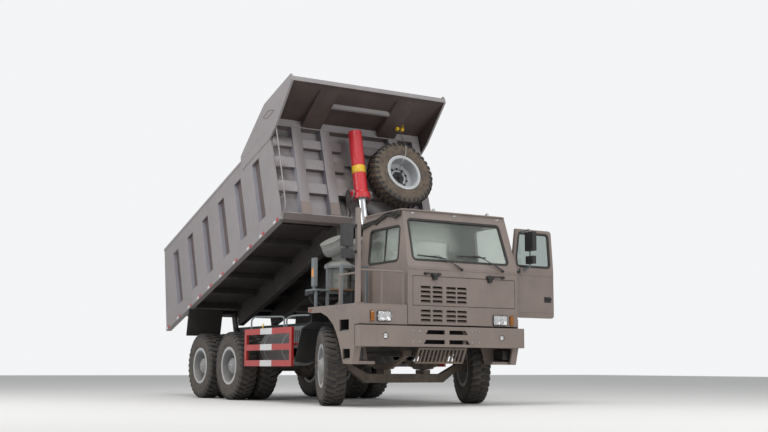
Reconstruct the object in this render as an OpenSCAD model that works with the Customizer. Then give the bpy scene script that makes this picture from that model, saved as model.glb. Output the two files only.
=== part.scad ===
// Six-wheel mining dump truck with its bed part raised, the driver's door
// open and the front wheels steered to the right.
// X points forward, Y to the truck's left and Z up, in millimetres.

/* [Wheels and axles] */
// Radius of a tyre over its lugs
tyre_r = 665; // [640:1:690]
// Width of one tyre
tyre_w = 375; // [340:1:390]
// Radius of the rim's bead seat
rim_r = 320; // [300:1:340]
// Distance from the front axle to the middle axle
wheelbase = 3800; // [3700:10:4200]
// Distance between the two rear axles
bogie_gap = 1500; // [1420:10:1560]
// Distance between the front tyres' centres
front_track = 2860; // [2800:10:2900]
// Distance between the middles of the twin tyres
rear_track = 2560; // [2520:10:2600]
// Distance between the two tyres of a twin
twin_gap = 450; // [420:5:470]
// Kingpin's distance inboard of the front tyre's centre
kingpin_in = 130; // [120:1:140]
// Angle of the front wheels, steered to the right
steer_angle = 19; // [0:1:30]
// Radius of the wheel spindles
spindle_r = 55; // [45:1:65]
// Running clearance at pins and spindles
pin_gap = 0.5; // [0.3:0.1:0.9]

/* [Frame] */
// Width over the two frame rails
frame_w = 900; // [860:10:960]
// Height of a frame rail
rail_h = 380; // [340:5:400]
// Height of the rails' top over the ground
rail_top = 1300; // [1290:5:1320]
// Thickness of a rail's web and flanges
rail_t = 20; // [12:1:26]
// Rear end of the frame, behind the front axle
frame_tail = 6285; // [6270:5:6330]
// Height of the sub-frame beams on the rails
sub_h = 200; // [180:5:205]

/* [Bumper and fenders] */
// Front face of the bumper, ahead of the front axle
bumper_x = 1316; // [1300:1:1340]
// Width of the bumper
bumper_w = 3290; // [3240:10:3330]
// Lower edge of the bumper
bumper_z = 976; // [960:1:990]
// Height of the bumper
bumper_h = 337; // [320:1:350]
// Height of the platform deck over the ground
deck_z = 1660; // [1640:1:1680]
// Thickness of fender plates
fender_t = 30; // [20:1:40]

/* [Cab] */
// Front face of the cab, ahead of the front axle
cab_front = 1270; // [1262:1:1280]
// Rear face of the cab, behind the front axle
cab_rear = 300; // [280:1:320]
// Right side of the cab, right of the centreline
cab_right = 711; // [690:1:720]
// Left side of the cab, left of the centreline
cab_left = 1540; // [1520:1:1560]
// Lower edge of the cab's front panel
cab_low = 1340; // [1330:1:1350]
// Underside of the cab's floor
cab_floor = 1500; // [1490:1:1520]
// Height where the windscreen starts to lean back
cab_knee = 2300; // [2280:1:2320]
// Height of the roof over the ground
cab_top = 3300; // [3280:5:3340]
// Setback of the roof's front edge from the cab's front
cab_rake = 265; // [240:5:290]
// Setback of the roof's sides from the cab's sides
cab_taper = 65; // [40:5:80]
// Thickness of the cab's walls and door
cab_wall = 50; // [40:1:60]
// Thickness of the window glass
glass_t = 6; // [5:1:10]
// Gap round the door and the front flap
panel_gap = 8; // [6:1:12]
// Angle by which the driver's door stands open
door_open = 88; // [60:1:95]

/* [Bed] */
// Width over the bed's side walls
bed_w = 3394; // [3340:2:3400]
// Length of the bed's bottom edge
bed_len = 6070; // [6000:10:6150]
// Height of the front wall
bed_h = 2060; // [2040:2:2090]
// Height of the side walls
side_h = 1860; // [1840:2:1900]
// Forward lean of the front wall at its top
wall_lean = 58; // [40:1:80]
// Front wall's ribs ahead of the side walls' front edges
wall_ahead = 63; // [50:1:76]
// Forward lean of the side walls' rear edge
tail_lean = 304; // [280:2:320]
// Thickness of the ribbed side walls
side_t = 120; // [112:2:140]
// Thickness of the front wall with its ribs
front_t = 190; // [180:2:210]
// Depth of the front wall's panels behind its ribs
recess = 150; // [130:1:160]
// Width of one recess in a side wall
slot_w = 330; // [310:2:350]
// Pitch of the recesses
slot_pitch = 878; // [860:1:890]
// Length of the canopy from the front wall
canopy_reach = 1045; // [1000:5:1080]
// Rise of the canopy at its front edge
canopy_rise = 207; // [190:1:230]
// Hinge axis behind the front axle
hinge_back = 6200; // [6190:1:6210]
// Hinge axis over the ground
hinge_z = 1450; // [1440:1:1460]
// Bed's front edge ahead of the hinge axis, when lowered
bed_ahead = 5010; // [4990:1:5020]
// Bed's lower edge over the hinge axis, when lowered
bed_over = 327; // [315:1:340]
// Angle by which the bed stands raised
bed_tilt = 18.1; // [0:0.1:30]

/* [Hoist] */
// Height of the foot pin over the ground
hoist_foot_z = 1560; // [1550:1:1570]
// Foot pin behind the front axle
hoist_foot_back = 1010; // [1000:1:1020]
// Trunnion ahead of the side walls' front edges
trunnion_x = 203; // [198:1:212]
// Trunnion over the bed's lower edge
trunnion_z = 551; // [540:1:560]
// Outer radius of the red barrel
barrel_r = 132; // [120:1:140]
// Length of the barrel over the trunnion
barrel_len = 1286; // [1260:2:1300]
// Radius of the largest chromed stage
stage_r = 88; // [80:1:95]

/* [Hidden] */
$fn = 48;
RIGHT = -1;
LEFT = 1;
seat_gap = 0.3;          // between pieces that rest on each other
// The origin is on the ground under the middle of the whole truck
origin_x = -3127.5;
origin_y = 309;

axle_z = tyre_r;
middle_x = -wheelbase;
rear_x = -wheelbase - bogie_gap;
front_y = front_track / 2;
kingpin_y = front_y - kingpin_in;
kingpin_r = 30;
rail_low = rail_top - rail_h;
sub_top = rail_top + sub_h;
apron_x = 1060;           // back of the space behind the cab's front panel
brown = [0.42, 0.35, 0.32];
dark = [0.10, 0.10, 0.11];
steel = [0.60, 0.61, 0.62];
rubber = [0.07, 0.07, 0.07];
grey = [0.55, 0.56, 0.54];
glassy = [0.35, 0.45, 0.42];

// General shapes

module box(low, high) translate(low) cube(high - low);

// Moves the truck so that the origin is under its middle
module place() translate([-origin_x, -origin_y, 0]) children();

// A side profile of [x, z] points, from y0 to y1
module side_profile(points, y0, y1)
    translate([0, y1, 0]) rotate([90, 0, 0]) linear_extrude(y1 - y0) polygon(points);

// A front profile of [y, z] points, from x0 to x1
module front_profile(points, x0, x1)
    translate([x0, 0, 0]) rotate([90, 0, 90]) linear_extrude(x1 - x0) polygon(points);

// A flat shape drawn in Y and Z, from x0 to x1
module along_x(x0, x1) translate([x0, 0, 0]) rotate([90, 0, 90]) linear_extrude(x1 - x0) children();

// A flat shape drawn in X and Z, from y0 to y1
module along_y(y0, y1) translate([0, y1, 0]) rotate([90, 0, 0]) linear_extrude(y1 - y0) children();

// A round bar between two points
module rod(a, b, r) {
    d = b - a;
    translate(a) rotate([0, acos(d.z / norm(d)), atan2(d.y, d.x)]) cylinder(h = norm(d), r = r);
}

// A run of round bars with rounded bends
module bent_rod(points, r) for (i = [1 : len(points) - 1]) {
    rod(points[i - 1], points[i], r);
    if (i < len(points) - 1) translate(points[i]) sphere(r + 1);
}

// A flat rectangle from low to high with round corners
module round_rect(low, high, r) {
    translate([low.x + r, low.y]) square([high.x - low.x - 2 * r, high.y - low.y]);
    translate([low.x, low.y + r]) square([high.x - low.x, high.y - low.y - 2 * r]);
    for (x = [low.x + r, high.x - r], y = [low.y + r, high.y - r]) translate([x, y]) circle(r);
}

// Points of an arc, for rounding the corners of a profile
function arc(cx, cy, r, a0, a1, n = 6) =
    [for (i = [0 : n]) [cx + r * cos(a0 + (a1 - a0) * i / n), cy + r * sin(a0 + (a1 - a0) * i / n)]];

// Turns a shape drawn round Z so that +Z points outboard on one side
module outboard(side) rotate([-90 * side, 0, 0]) children();

// Wheels

rim_t = 14;
flange_r = rim_r + 48;
rim_half = 0.38 * tyre_w;
disc_t = 24;
hub_r = 150;

// Tyre section from bead to tread: [radius, distance from the middle]
tyre_half = [[rim_r + seat_gap, rim_half - seat_gap], [flange_r + 2, rim_half + 12 - seat_gap],
    [flange_r + 28, 0.45 * tyre_w], [flange_r + 60, 0.485 * tyre_w], [rim_r + 190, tyre_w / 2],
    [tyre_r - 95, 0.49 * tyre_w], [tyre_r - 28, 0.465 * tyre_w], [tyre_r, 0.44 * tyre_w]];

// Grooves between the lugs: how many round each shoulder, their width and depth
lugs = 15;
groove_w = 72;
groove_deep = 28;

module tyre() color(rubber) difference() {
    rotate_extrude($fn = 72) polygon(concat(
        tyre_half, [for (i = [len(tyre_half) - 1 : -1 : 0]) [tyre_half[i][0], -tyre_half[i][1]]]));
    for (s = [-1, 1], i = [0 : lugs - 1]) rotate([0, 0, (i + s / 4) * 360 / lugs])
        translate([tyre_r, 0, s * tyre_w / 2]) cube([2 * groove_deep, groove_w, 0.68 * tyre_w], center = true);
}

// A rim barrel with its flanges, open at both ends
module rim_barrel() rotate_extrude($fn = 72) polygon([
    [rim_r - rim_t, -rim_half - 24], [flange_r, -rim_half - 24], [flange_r, -rim_half - 12],
    [rim_r, -rim_half], [rim_r, rim_half], [flange_r, rim_half + 12], [flange_r, rim_half + 24],
    [rim_r - rim_t, rim_half + 24]]);

// A wheel with its disc at disc_z and its hub from hub_low to hub_high
module wheel(disc_z, hub_low, hub_high, holes = 8) difference() {
    union() {
        rim_barrel();
        translate([0, 0, disc_z]) cylinder(h = disc_t, r = rim_r - rim_t + 1);
        translate([0, 0, hub_low]) cylinder(h = hub_high - hub_low, r = hub_r);
        translate([0, 0, hub_high]) cylinder(h = 60, r1 = hub_r - 20, r2 = hub_r - 60);
    }
    for (i = [0 : holes - 1]) rotate([0, 0, i * 360 / holes])
        translate([(rim_r + hub_r) / 2 - 5, 0, disc_z - 1]) cylinder(h = disc_t + 2, r = 32);
    translate([0, 0, hub_low - 1]) cylinder(h = hub_high - hub_low + 1, r = spindle_r + pin_gap);
}

module front_tyre_at(side) steered(side) translate([0, side * front_y, axle_z]) outboard(side) tyre();

front_hub = [-18, 150];
module front_wheel_at(side) color(steel) steered(side)
    translate([0, side * front_y, axle_z]) outboard(side) wheel(70, front_hub[0], front_hub[1], 10);

// Steering turns what it carries about the kingpin
module steered(side) translate([0, side * kingpin_y, 0]) rotate([0, 0, -steer_angle])
    translate([0, -side * kingpin_y, 0]) children();

twin_in = rear_track / 2 - twin_gap / 2;
twin_out = rear_track / 2 + twin_gap / 2;

module twin_tyres_at(x, side) for (y = [twin_in, twin_out])
    translate([x, side * y, axle_z]) outboard(side) tyre();

// The inner and outer wheels of a twin share one hub
twin_hub = [-330, 90];
module twin_wheels_at(x, side) color(steel) translate([x, side * twin_out, axle_z]) outboard(side)
difference() {
    union() {
        rim_barrel();
        translate([0, 0, -twin_gap]) rim_barrel();
        translate([0, 0, -rim_half - 24]) cylinder(h = disc_t, r = rim_r - rim_t + 1);
        translate([0, 0, rim_half + 24 - twin_gap - disc_t]) cylinder(h = disc_t, r = rim_r - rim_t + 1);
        translate([0, 0, twin_hub[0]]) cylinder(h = twin_hub[1] - twin_hub[0], r = hub_r);
        translate([0, 0, twin_hub[1]]) cylinder(h = 40, r1 = hub_r - 20, r2 = hub_r - 50);
    }
    for (i = [0 : 7]) rotate([0, 0, i * 45]) translate([(rim_r + hub_r) / 2 - 5, 0, -twin_gap])
        cylinder(h = 2 * twin_gap, r = 30);
    translate([0, 0, twin_hub[0] - 1]) cylinder(h = twin_hub[1] - twin_hub[0] + 1, r = spindle_r + pin_gap);
}

// Axles

eye_h = 130;
eye_r = 62;
yoke_t = 40;
yoke_gap = 0.5;

// Drop beam between the kingpins, with its tie rod behind it
module front_axle() color(brown) {
    difference() {
        union() {
            front_profile(concat(
                [[-kingpin_y + 20, axle_z - 45], [-kingpin_y + 200, axle_z - 80], [-800, 378], [800, 378]],
                [[kingpin_y - 200, axle_z - 80], [kingpin_y - 20, axle_z - 45], [kingpin_y - 20, axle_z + 45]],
                [[kingpin_y - 190, axle_z + 40], [760, 531], [-760, 531]],
                [[-kingpin_y + 190, axle_z + 40], [-kingpin_y + 20, axle_z + 45]]), -55, 55);
            for (s = [RIGHT, LEFT]) {
                translate([0, s * kingpin_y, axle_z - eye_h / 2]) cylinder(h = eye_h, r = eye_r);
                box([-130, s * spring_y - 70, 530], [130, s * spring_y + 70, 600]);
            }
        }
        for (s = [RIGHT, LEFT])
            translate([0, s * kingpin_y, 0]) cylinder(h = 2 * axle_z, r = kingpin_r + pin_gap);
    }
}

// Fork with its kingpin and spindle, and the steering arm
module knuckle(side) color(dark) steered(side) {
    spindle_in = kingpin_y + eye_r + 40;
    for (z = [axle_z + eye_h / 2 + yoke_gap, axle_z - eye_h / 2 - yoke_gap - yoke_t]) {
        translate([0, side * kingpin_y, z]) cylinder(h = yoke_t, r = eye_r);
        box([-eye_r, side > 0 ? kingpin_y : -spindle_in, z], [eye_r, side > 0 ? spindle_in : -kingpin_y, z + yoke_t]);
    }
    translate([0, side * kingpin_y, axle_z - eye_h / 2 - yoke_t])
        cylinder(h = eye_h + 2 * yoke_t, r = kingpin_r);
    box([-eye_r, side > 0 ? kingpin_y + eye_r + 6 : -spindle_in, axle_z - eye_h / 2 - yoke_t],
        [eye_r, side > 0 ? spindle_in : -kingpin_y - eye_r - 6, axle_z + eye_h / 2 + yoke_t]);
    translate([0, side * spindle_in, axle_z]) outboard(side)
        cylinder(h = front_y + front_hub[1] - 5 - spindle_in, r = spindle_r);
    // Steering arm, which runs back and inboard over the beam
    box([-260, side * kingpin_y - 25, axle_z - eye_h / 2 - yoke_t - 1],
        [-eye_r + 40, side * kingpin_y + 25, axle_z - eye_h / 2 - 1]);
}

rear_spindle_end = twin_out + twin_hub[1] - 5;
axle_tube_end = twin_out + twin_hub[0] - 1;
diff_r = 235;

module rear_axle_at(x) {
    translate([x, 0, axle_z]) {
        for (s = [RIGHT, LEFT]) outboard(s) {
            cylinder(h = axle_tube_end, r = 105);
            cylinder(h = rear_spindle_end, r = spindle_r);
        }
        sphere(diff_r);
        rotate([0, 90, 0]) cylinder(h = diff_r + 110, r = 95);
    }
    for (s = [RIGHT, LEFT])
        box([x - 110, s * rear_spring_y - 60, axle_z - 60], [x + 110, s * rear_spring_y + 60, axle_z + 150]);
}

prop_r = 62;
// Both rear axles, joined by their drive shaft and the shaft from the gearbox
module rear_axles() color(dark) {
    rear_axle_at(middle_x);
    rear_axle_at(rear_x);
    rod([rear_x + diff_r, 0, axle_z], [middle_x - diff_r + 30, 0, axle_z + 60], prop_r);
    rod([middle_x + diff_r + 60, 0, axle_z], [engine_x0 - 7, 0, 950], prop_r);
}

// Springs

spring_y = 405;
spring_half = 760;
leaf_w = 90;
leaf_t = 20;
rear_spring_y = 570;

// A pack of leaves as one outline, each leaf shorter than the one over it
module leaf_pack(x, y, z, half, rise, leaves) {
    radius = (half * half + rise * rise) / (2 * rise);
    ends = [for (i = [0 : leaves - 1]) asin(half / radius) * (1 - i / (leaves + 1))];
    // Lower side from the shortest leaf outwards: [angle from the middle, radius]
    steps = [for (i = [leaves - 1 : -1 : 0]) for (r = [radius + (i + 1) * leaf_t, radius + i * leaf_t])
        [ends[i], r]];
    along_y(y - leaf_w / 2, y + leaf_w / 2) translate([x, z + radius]) polygon(concat(
        arc(0, 0, radius, -90 - ends[0], -90 + ends[0], 12),
        [for (i = [len(steps) - 2 : -1 : 1]) steps[i].y * [cos(steps[i].x - 90), sin(steps[i].x - 90)]],
        arc(0, 0, steps[0].y, -90 + steps[0].x, -90 - steps[0].x, 4),
        [for (i = [1 : len(steps) - 2]) steps[i].y * [cos(-steps[i].x - 90), sin(-steps[i].x - 90)]]));
}

front_spring_z = 600 + seat_gap + 5 * leaf_t;
module front_springs() color(dark) for (s = [RIGHT, LEFT]) {
    leaf_pack(0, s * spring_y, front_spring_z, spring_half, 150, 5);
    for (x = [-spring_half - 60, spring_half - 60])
        box([x, s * spring_y - 50, front_spring_z + 132], [x + 120, s * spring_y + 50, rail_low - seat_gap]);
}

bogie_x = (middle_x + rear_x) / 2;
module rear_springs() color(dark) for (s = [RIGHT, LEFT]) {
    translate([0, 0, 2 * rear_pack_z]) mirror([0, 0, 1])
        leaf_pack(bogie_x, s * rear_spring_y, rear_pack_z, bogie_gap / 2 + 60, 60, 6);
    box([bogie_x - 160, s * rear_spring_y - 70, rail_low - 200],
        [bogie_x + 160, s * rear_spring_y + 70, rear_pack_z + 4]);
    box([bogie_x - 160, min(s * (frame_w / 2 + seat_gap), s * (rear_spring_y - 60)), rail_low - 200],
        [bogie_x + 160, max(s * (frame_w / 2 + seat_gap), s * (rear_spring_y - 60)), rail_low + 140]);
}
rear_pack_z = axle_z + 150 + seat_gap + 60;

// Frame

frame_front = bumper_x - 160;
flange_w = 90;
hinge_x = -hinge_back;
hinge_pin_r = 45;
ear_t = 50;
foot_x = -hoist_foot_back;
foot_y = 0;
foot_pin_r = 35;
foot_half = 60;

module rail(side) front_profile([for (p = [[0, 0], [flange_w, 0], [flange_w, rail_t], [rail_t, rail_t],
    [rail_t, rail_h - rail_t], [flange_w, rail_h - rail_t], [flange_w, rail_h], [0, rail_h]])
    [side * (frame_w / 2 - p.x), rail_low + p.y]], -frame_tail, frame_front);

// Rails with their cross members, the cab's mounts and the towing jaw
module frame() color(dark) difference() {
    union() {
        for (s = [RIGHT, LEFT]) rail(s);
        for (x = [radiator_x - seat_gap - 110, -1350, -2600, bogie_x - 120, -frame_tail + 30])
            box([x, -frame_w / 2 + rail_t / 2, rail_low + 70], [x + 110, frame_w / 2 - rail_t / 2, rail_top - 60]);
        for (x = [-200, 860], s = [RIGHT, LEFT])
            box([x, s * (frame_w / 2 - 45) - 45, rail_top - 1], [x + 120, s * (frame_w / 2 - 45) + 45, cab_floor - seat_gap]);
        for (z = [tow_z - tow_gap / 2 - 25, tow_z + tow_gap / 2])
            box([-frame_tail - 110, -70, z], [-frame_tail + 40, 70, z + 25]);
    }
    translate([-frame_tail - 60, 0, tow_z - 100]) cylinder(h = 200, r = tow_r);
}

// Arms that carry the platform and the left fender
module fender_arms() color(dark) for (x = [-350, 560]) {
    box([x, -frame_w / 2, rail_top + seat_gap], [x + 80, 95 - frame_w / 2, 1490]);
    box([x, -cab_right - 70, 1430], [x + 80, 95 - frame_w / 2, 1490]);
    box([x, -cab_right - 70, 1430], [x + 80, -cab_right - 14, deck_z - 90 - seat_gap]);
    box([x, frame_w / 2 - 95, rail_top + seat_gap], [x + 80, frame_w / 2, liner_top - seat_gap]);
    box([x, frame_w / 2 - 95, 1395], [x + 80, 1400, liner_top - seat_gap]);
}

// Beams on the rails, with cross beams, the ears of the hoist's foot and the bed's hinge pin
module sub_frame() color(dark) {
    for (s = [RIGHT, LEFT])
        box([-frame_tail, s > 0 ? frame_w / 2 - 100 : -frame_w / 2, rail_top + seat_gap],
            [foot_x + 130, s > 0 ? frame_w / 2 : 100 - frame_w / 2, sub_top]);
    for (x = [-frame_tail, -2100, -3400, -4700])
        box([x, -frame_w / 2 + 50, rail_top + 20], [x + 120, frame_w / 2 - 50, sub_top - 60]);
    box([foot_x - 130, -frame_w / 2 + 50, rail_top + 10], [foot_x + 130, frame_w / 2 - 50, sub_top - 60]);
    // Ears, each with the head of the hoist's pin
    for (s = [-1, 1]) {
        side_profile([[foot_x - 110, sub_top - 70], [foot_x + 110, sub_top - 70],
            [foot_x + 60, hoist_foot_z + 60], [foot_x - 60, hoist_foot_z + 60]],
            foot_y + s * (foot_half + 30) - 22, foot_y + s * (foot_half + 30) + 22);
        translate([foot_x, foot_y + s * (foot_half + 50), hoist_foot_z]) outboard(s)
            cylinder(h = 18, r = foot_pin_r);
    }
    rod([hinge_x, -hinge_half - ear_t - 20, hinge_z], [hinge_x, hinge_half + ear_t + 20, hinge_z], hinge_pin_r);
}
tow_z = 1100;
tow_gap = 90;
tow_r = 25.5;
liner_top = 1455;
hinge_half = frame_w / 2 + 8;

// Power unit

engine_x0 = -420;
engine_x1 = 930;
engine_half = 320;
module engine_block() color(dark) {
    box([engine_x0, -engine_half, 830], [engine_x1, engine_half, 1290]);
    for (x = [-300, 650]) box([x, -frame_w / 2 + rail_t + seat_gap, 1010], [x + 120, frame_w / 2 - rail_t - seat_gap, 1110]);
}

radiator_x = apron_x + 12;
radiator_t = 80;
module radiator() color(dark) {
    box([radiator_x, -345, 870], [radiator_x + radiator_t, 345, 1330]);
    box([radiator_x, -520, 1329], [radiator_x + radiator_t, 520, cab_knee - 280]);
}

// Bumper

bumper_top = bumper_z + bumper_h;
// Slots in the bumper: [inner end, upper outer end, lower outer end, low z, high z]
bumper_slots = [[45, 400, 375, 1182, 1252], [45, 440, 415, 1022, 1092]];
slot_mid = 30;

module bumper() color(brown) difference() {
    union() {
        side_profile([[bumper_x, bumper_z], [bumper_x, bumper_top], [frame_front + 10, bumper_top],
            [frame_front + 10, bumper_top - 25], [bumper_x - 30, bumper_top - 25],
            [bumper_x - 30, bumper_z + 25], [frame_front + 10, bumper_z + 25],
            [frame_front + 10, bumper_z]], -bumper_w / 2, bumper_w / 2);
        for (s = [RIGHT, LEFT])
            box([frame_front + seat_gap, s * (frame_w / 2 - 20) - 30, bumper_z + 20], [bumper_x - 20, s * (frame_w / 2 - 20) + 30, bumper_top - 20]);
        // Closed ends
        for (y = [-bumper_w / 2, bumper_w / 2 - 20]) box([frame_front + 11, y, bumper_z + 1], [bumper_x - 1, y + 20, bumper_top - 1]);
    }
    for (r = bumper_slots, s = [-1, 1])
        front_profile([for (p = [[r[0], r[3]], [r[1] + 25, r[3]], [r[2], r[4]], [r[0], r[4]]])
            [slot_mid + s * p.x, p.y]], bumper_x - 60, bumper_x + 10);
    for (s = [RIGHT, LEFT]) translate([bumper_x - 60, s * fog_y, fog_z]) rotate([0, 90, 0]) cylinder(h = 80, r = fog_r + 4);
}
fog_y = 1163;
fog_z = 1144;
fog_r = 48;

// Slatted guard under the bumper, sloping back
module skid_guard() color(dark) translate([bumper_x - 70, 0, bumper_z - seat_gap])
rotate([0, 28, 0]) difference() {
    translate([-14, -480, -300]) cube([28, 960, 292]);
    for (i = [0 : 11]) translate([-40, -452 + i * 76, -270]) cube([80, 48, 225]);
}

// Fenders

// Edge of the wheel arch in the fender's side plate: [x, z]
arch = [[-476, 1560], [0, 1552], [225, 1480], [400, 1362], [530, 1220], [618, 1085], [702, 900], [775, 700]];
leg_front = 1250;
leg_low = 690;
fender_y = 1645;
leg_in = 1180;
platform_rear = 476;

// Step openings in the leg: [x0, x1, z0, z1]
steps = [[650, 968, 1225, 1412], [765, 1007, 770, 937]];

module step_holes(side) for (s = steps)
    box([s[0], side > 0 ? leg_in - 2 : -fender_y - 2, s[2]], [s[1], side > 0 ? fender_y + 2 : -leg_in + 2, s[3]]);

// A leg: an outer box down the front of the arch, and the black steps' housing inboard of it
leg_mid = 1520;
module fender_leg(side, top, arch_from) {
    outer = [for (p = arch) if (p.x > arch_from) p];
    profile = concat([[arch_from, top]], outer, [[1070, leg_low], [1150, bumper_z - 4], [1150, top]]);
    y_out = side * fender_y;
    y_in = side * leg_in;
    lo = min(y_out, y_in);
    hi = max(y_out, y_in);
    difference() {
        side_profile(profile, lo, hi);
        // Hollow behind the outer plate and the arch plate, open inboard
        side_profile([[640, top - 40], [640, 1130], [790, 740], [1040, 740], [1110, bumper_z + 10], [1110, top - 40]],
            side > 0 ? lo - 1 : lo + fender_t, side > 0 ? hi - fender_t : hi + 1);
        // Front of the inboard part stands back of the steps
        box([1010, side > 0 ? leg_in - 2 : -leg_mid, 600], [1160, side > 0 ? leg_mid : -leg_in + 2, bumper_z - 5]);
        step_holes(side);
    }
}

module right_fender() color(brown) {
    fender_leg(RIGHT, 1330, 440);
    // Side plate over the arch
    difference() {
        side_profile([[-platform_rear, 1578], [-platform_rear + 20, deck_z - 2], [1249, deck_z - 2], [1249, 1329],
        [440, 1329], [400, 1362], [225, 1480], [0, 1552], [-platform_rear + 110, 1560]],
            -fender_y, -fender_y + fender_t);
        step_holes(RIGHT);
    }
    box([-platform_rear, -fender_y, deck_z - fender_t], [cab_front - 20, -cab_right - 12, deck_z]);
    box([cab_front - 30, -fender_y, bumper_top + 20], [cab_front, -cab_right - 12, deck_z - 18]);
    box([440, -leg_in - 20, 1329], [cab_front - 20, -leg_in + 10, deck_z - 10]);
    box([-platform_rear, -cab_right - 60, deck_z - 90], [cab_front - 20, -cab_right - 12, deck_z - 10]);
}

module left_fender() color(brown) {
    fender_leg(LEFT, 1330, 440);
    side_profile([[-platform_rear, 1440], [-platform_rear, 1480], [1150, 1480], [1150, 1329],
        [440, 1329], [400, 1362], [225, 1430], [0, 1440]], fender_y - fender_t, fender_y);
    box([-platform_rear, 1100, liner_top], [1000, fender_y - 5, 1480]);
}

// Splash plates behind the front wheels, hung from the fenders
module wheel_guards() color(dark) for (s = [RIGHT, LEFT]) {
    lo = s > 0 ? 1000 : -1585;
    hi = s > 0 ? 1585 : -1000;
    top = s > 0 ? liner_top - seat_gap : deck_z - fender_t - seat_gap;
    side_profile([[-460, top], [-460, 1430], [-830, 1320], [-1085, 740], [-1070, 732],
        [-818, 1306], [-445, 1416], [-445, top]], lo, hi);
}

// Cab

cab_belt = 2390;
roof_x = cab_front - cab_rake;
door_x0 = 150;
door_x1 = 1085;
door_z0 = cab_floor + 10;
door_z1 = 3110;

// The cab's outline, each face moved in by inset
module cab_form(inset, low) intersection() {
    side_profile(concat([[cab_front - inset, low], [cab_front - inset, cab_knee]],
        arc(roof_x - 70 - inset, cab_top - 70 - inset, 70, 20, 90, 4),
        [[-cab_rear + 60 + inset, cab_top - inset], [-cab_rear + inset, cab_top - 60 - inset],
        [-cab_rear + inset, low]]), -2000, 2000);
    front_profile(concat([[-cab_right + inset, low], [cab_left - inset, low], [cab_left - inset, cab_belt]],
        arc(cab_left - cab_taper - 70 - inset, cab_top - 70 - inset, 70, 5, 90, 4),
        arc(-cab_right + cab_taper + 70 + inset, cab_top - 70 - inset, 70, 90, 175, 4),
        [[-cab_right + inset, cab_belt]]), -2000, 2000);
}

// Outlines of the openings, grown by g
module screen_outline(g = 0) polygon(concat(
    arc(-515, 3050, 70 + g, 90, 180), arc(-525, 2475, 70 + g, 180, 265),
    arc(1310, 2475, 70 + g, -85, 0), arc(1250, 3050, 70 + g, 0, 90)));
module side_window_outline() round_rect([-30, 2400], [960, 3010], 80);
module rear_window_outline() round_rect([-300, 2350], [1150, 2950], 80);
module door_outline(g = 0) intersection() {
    round_rect([door_x0 - g, door_z0 - g], [door_x1 + g, door_z1 + g], 60);
    polygon([[0, 1000], [2000, 1000], [door_x1 + g, cab_belt + 200], [975 + g, door_z1 + 50], [0, door_z1 + 50]]);
}
module door_window_outline() intersection() {
    round_rect([door_x0 + 80, 2420], [door_x1 - 75, 3040], 70);
    polygon([[0, 1000], [2000, 1000], [door_x1 - 75, cab_belt + 200], [920, door_z1], [0, door_z1]]);
}

// Front flap: [y0, y1, z0, z1]
flap = [-620, 1490, 1650, 2145];
// Grilles: [first y, first z, rows, skewed rows]
louvre_y = [-458, -222, 50, 270];
louvre_w = 192;
louvre_h = 50;
louvre_pitch = 76;
module louvres(z0, rows) for (r = [0 : rows - 1], y = louvre_y)
    box([cab_front - 80, y, z0 + r * louvre_pitch], [cab_front + 20, y + louvre_w, z0 + r * louvre_pitch + louvre_h]);

module cab_shell() color(brown) difference() {
    union() {
        difference() {
            cab_form(0, cab_low);
            // Room inside
            difference() {
                cab_form(cab_wall, cab_floor + cab_wall);
                box([apron_x - cab_wall, -3000, cab_floor], [cab_front, 3000, cab_knee - 60]);
            }
            // Space behind the front panel, open below
            difference() {
                box([apron_x, -cab_right + cab_wall, 1000], [cab_front - cab_wall, cab_left - cab_wall, cab_knee - 110]);
            }
            box([-cab_rear - 10, -3000, 1000], [apron_x - cab_wall, 3000, cab_floor]);
        }
        // Hinge posts of the door
        for (z = [1800, 2300])
            box([hinge_door.x - 24, cab_left - 20, z], [hinge_door.x + 60, hinge_door.y + 22, z + 40]);
        for (z = [1800, 2300]) translate([hinge_door.x, hinge_door.y, z]) cylinder(h = 130, r = 12);
        // Hinge pins of the front flap
        for (y = flap_hinges) {
            for (d = [-70, 46]) box([cab_front - 20, y + d, flap_axis.z - 22], [flap_axis.x + 22, y + d + 24, flap_axis.z + 22]);
            rod([flap_axis.x, y - 60, flap_axis.z], [flap_axis.x, y + 60, flap_axis.z], 10);
        }
    }
    along_x(cab_front - 700, cab_front + 10) screen_outline();
    along_y(-cab_right - 10, -cab_right + cab_taper + cab_wall + 30) side_window_outline();
    along_x(-cab_rear - 10, -cab_rear + cab_wall + 30) rear_window_outline();
    along_y(cab_left - cab_taper - cab_wall - 30, cab_left + 10) door_outline(0);
    box([cab_front - cab_wall - 30, flap[0], flap[2]], [cab_front + 10, flap[1], flap[3]]);
    louvres(1385, 3);
}

flap_hinges = [-190, 940];
flap_axis = [cab_front + 34, 0, flap[3] + 26];
hinge_door = [door_x1 + 35, cab_left + 45];

module front_flap() color(brown) difference() {
    union() {
        box([cab_front - cab_wall, flap[0] + panel_gap, flap[2] + panel_gap],
            [cab_front, flap[1] - panel_gap, flap[3] - panel_gap]);
        for (y = flap_hinges) {
            box([cab_front - 20, y - 40, flap[3] - 60], [flap_axis.x + 12, y + 40, flap[3] - panel_gap]);
            translate([flap_axis.x, y - 40, flap_axis.z]) rotate([-90, 0, 0]) cylinder(h = 80, r = 22);
            box([flap_axis.x - 12, y - 40, flap[3] - 30], [flap_axis.x + 12, y + 40, flap_axis.z]);
        }
    }
    louvres(1700, 4);
    for (y = flap_hinges)
        translate([flap_axis.x, y - 41, flap_axis.z]) rotate([-90, 0, 0]) cylinder(h = 82, r = 10 + pin_gap);
}

// Turns the door open about its hinge
module door_place() translate([hinge_door.x, hinge_door.y, 0]) rotate([0, 0, -door_open])
    translate([-hinge_door.x, -hinge_door.y, 0]) children();

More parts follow.
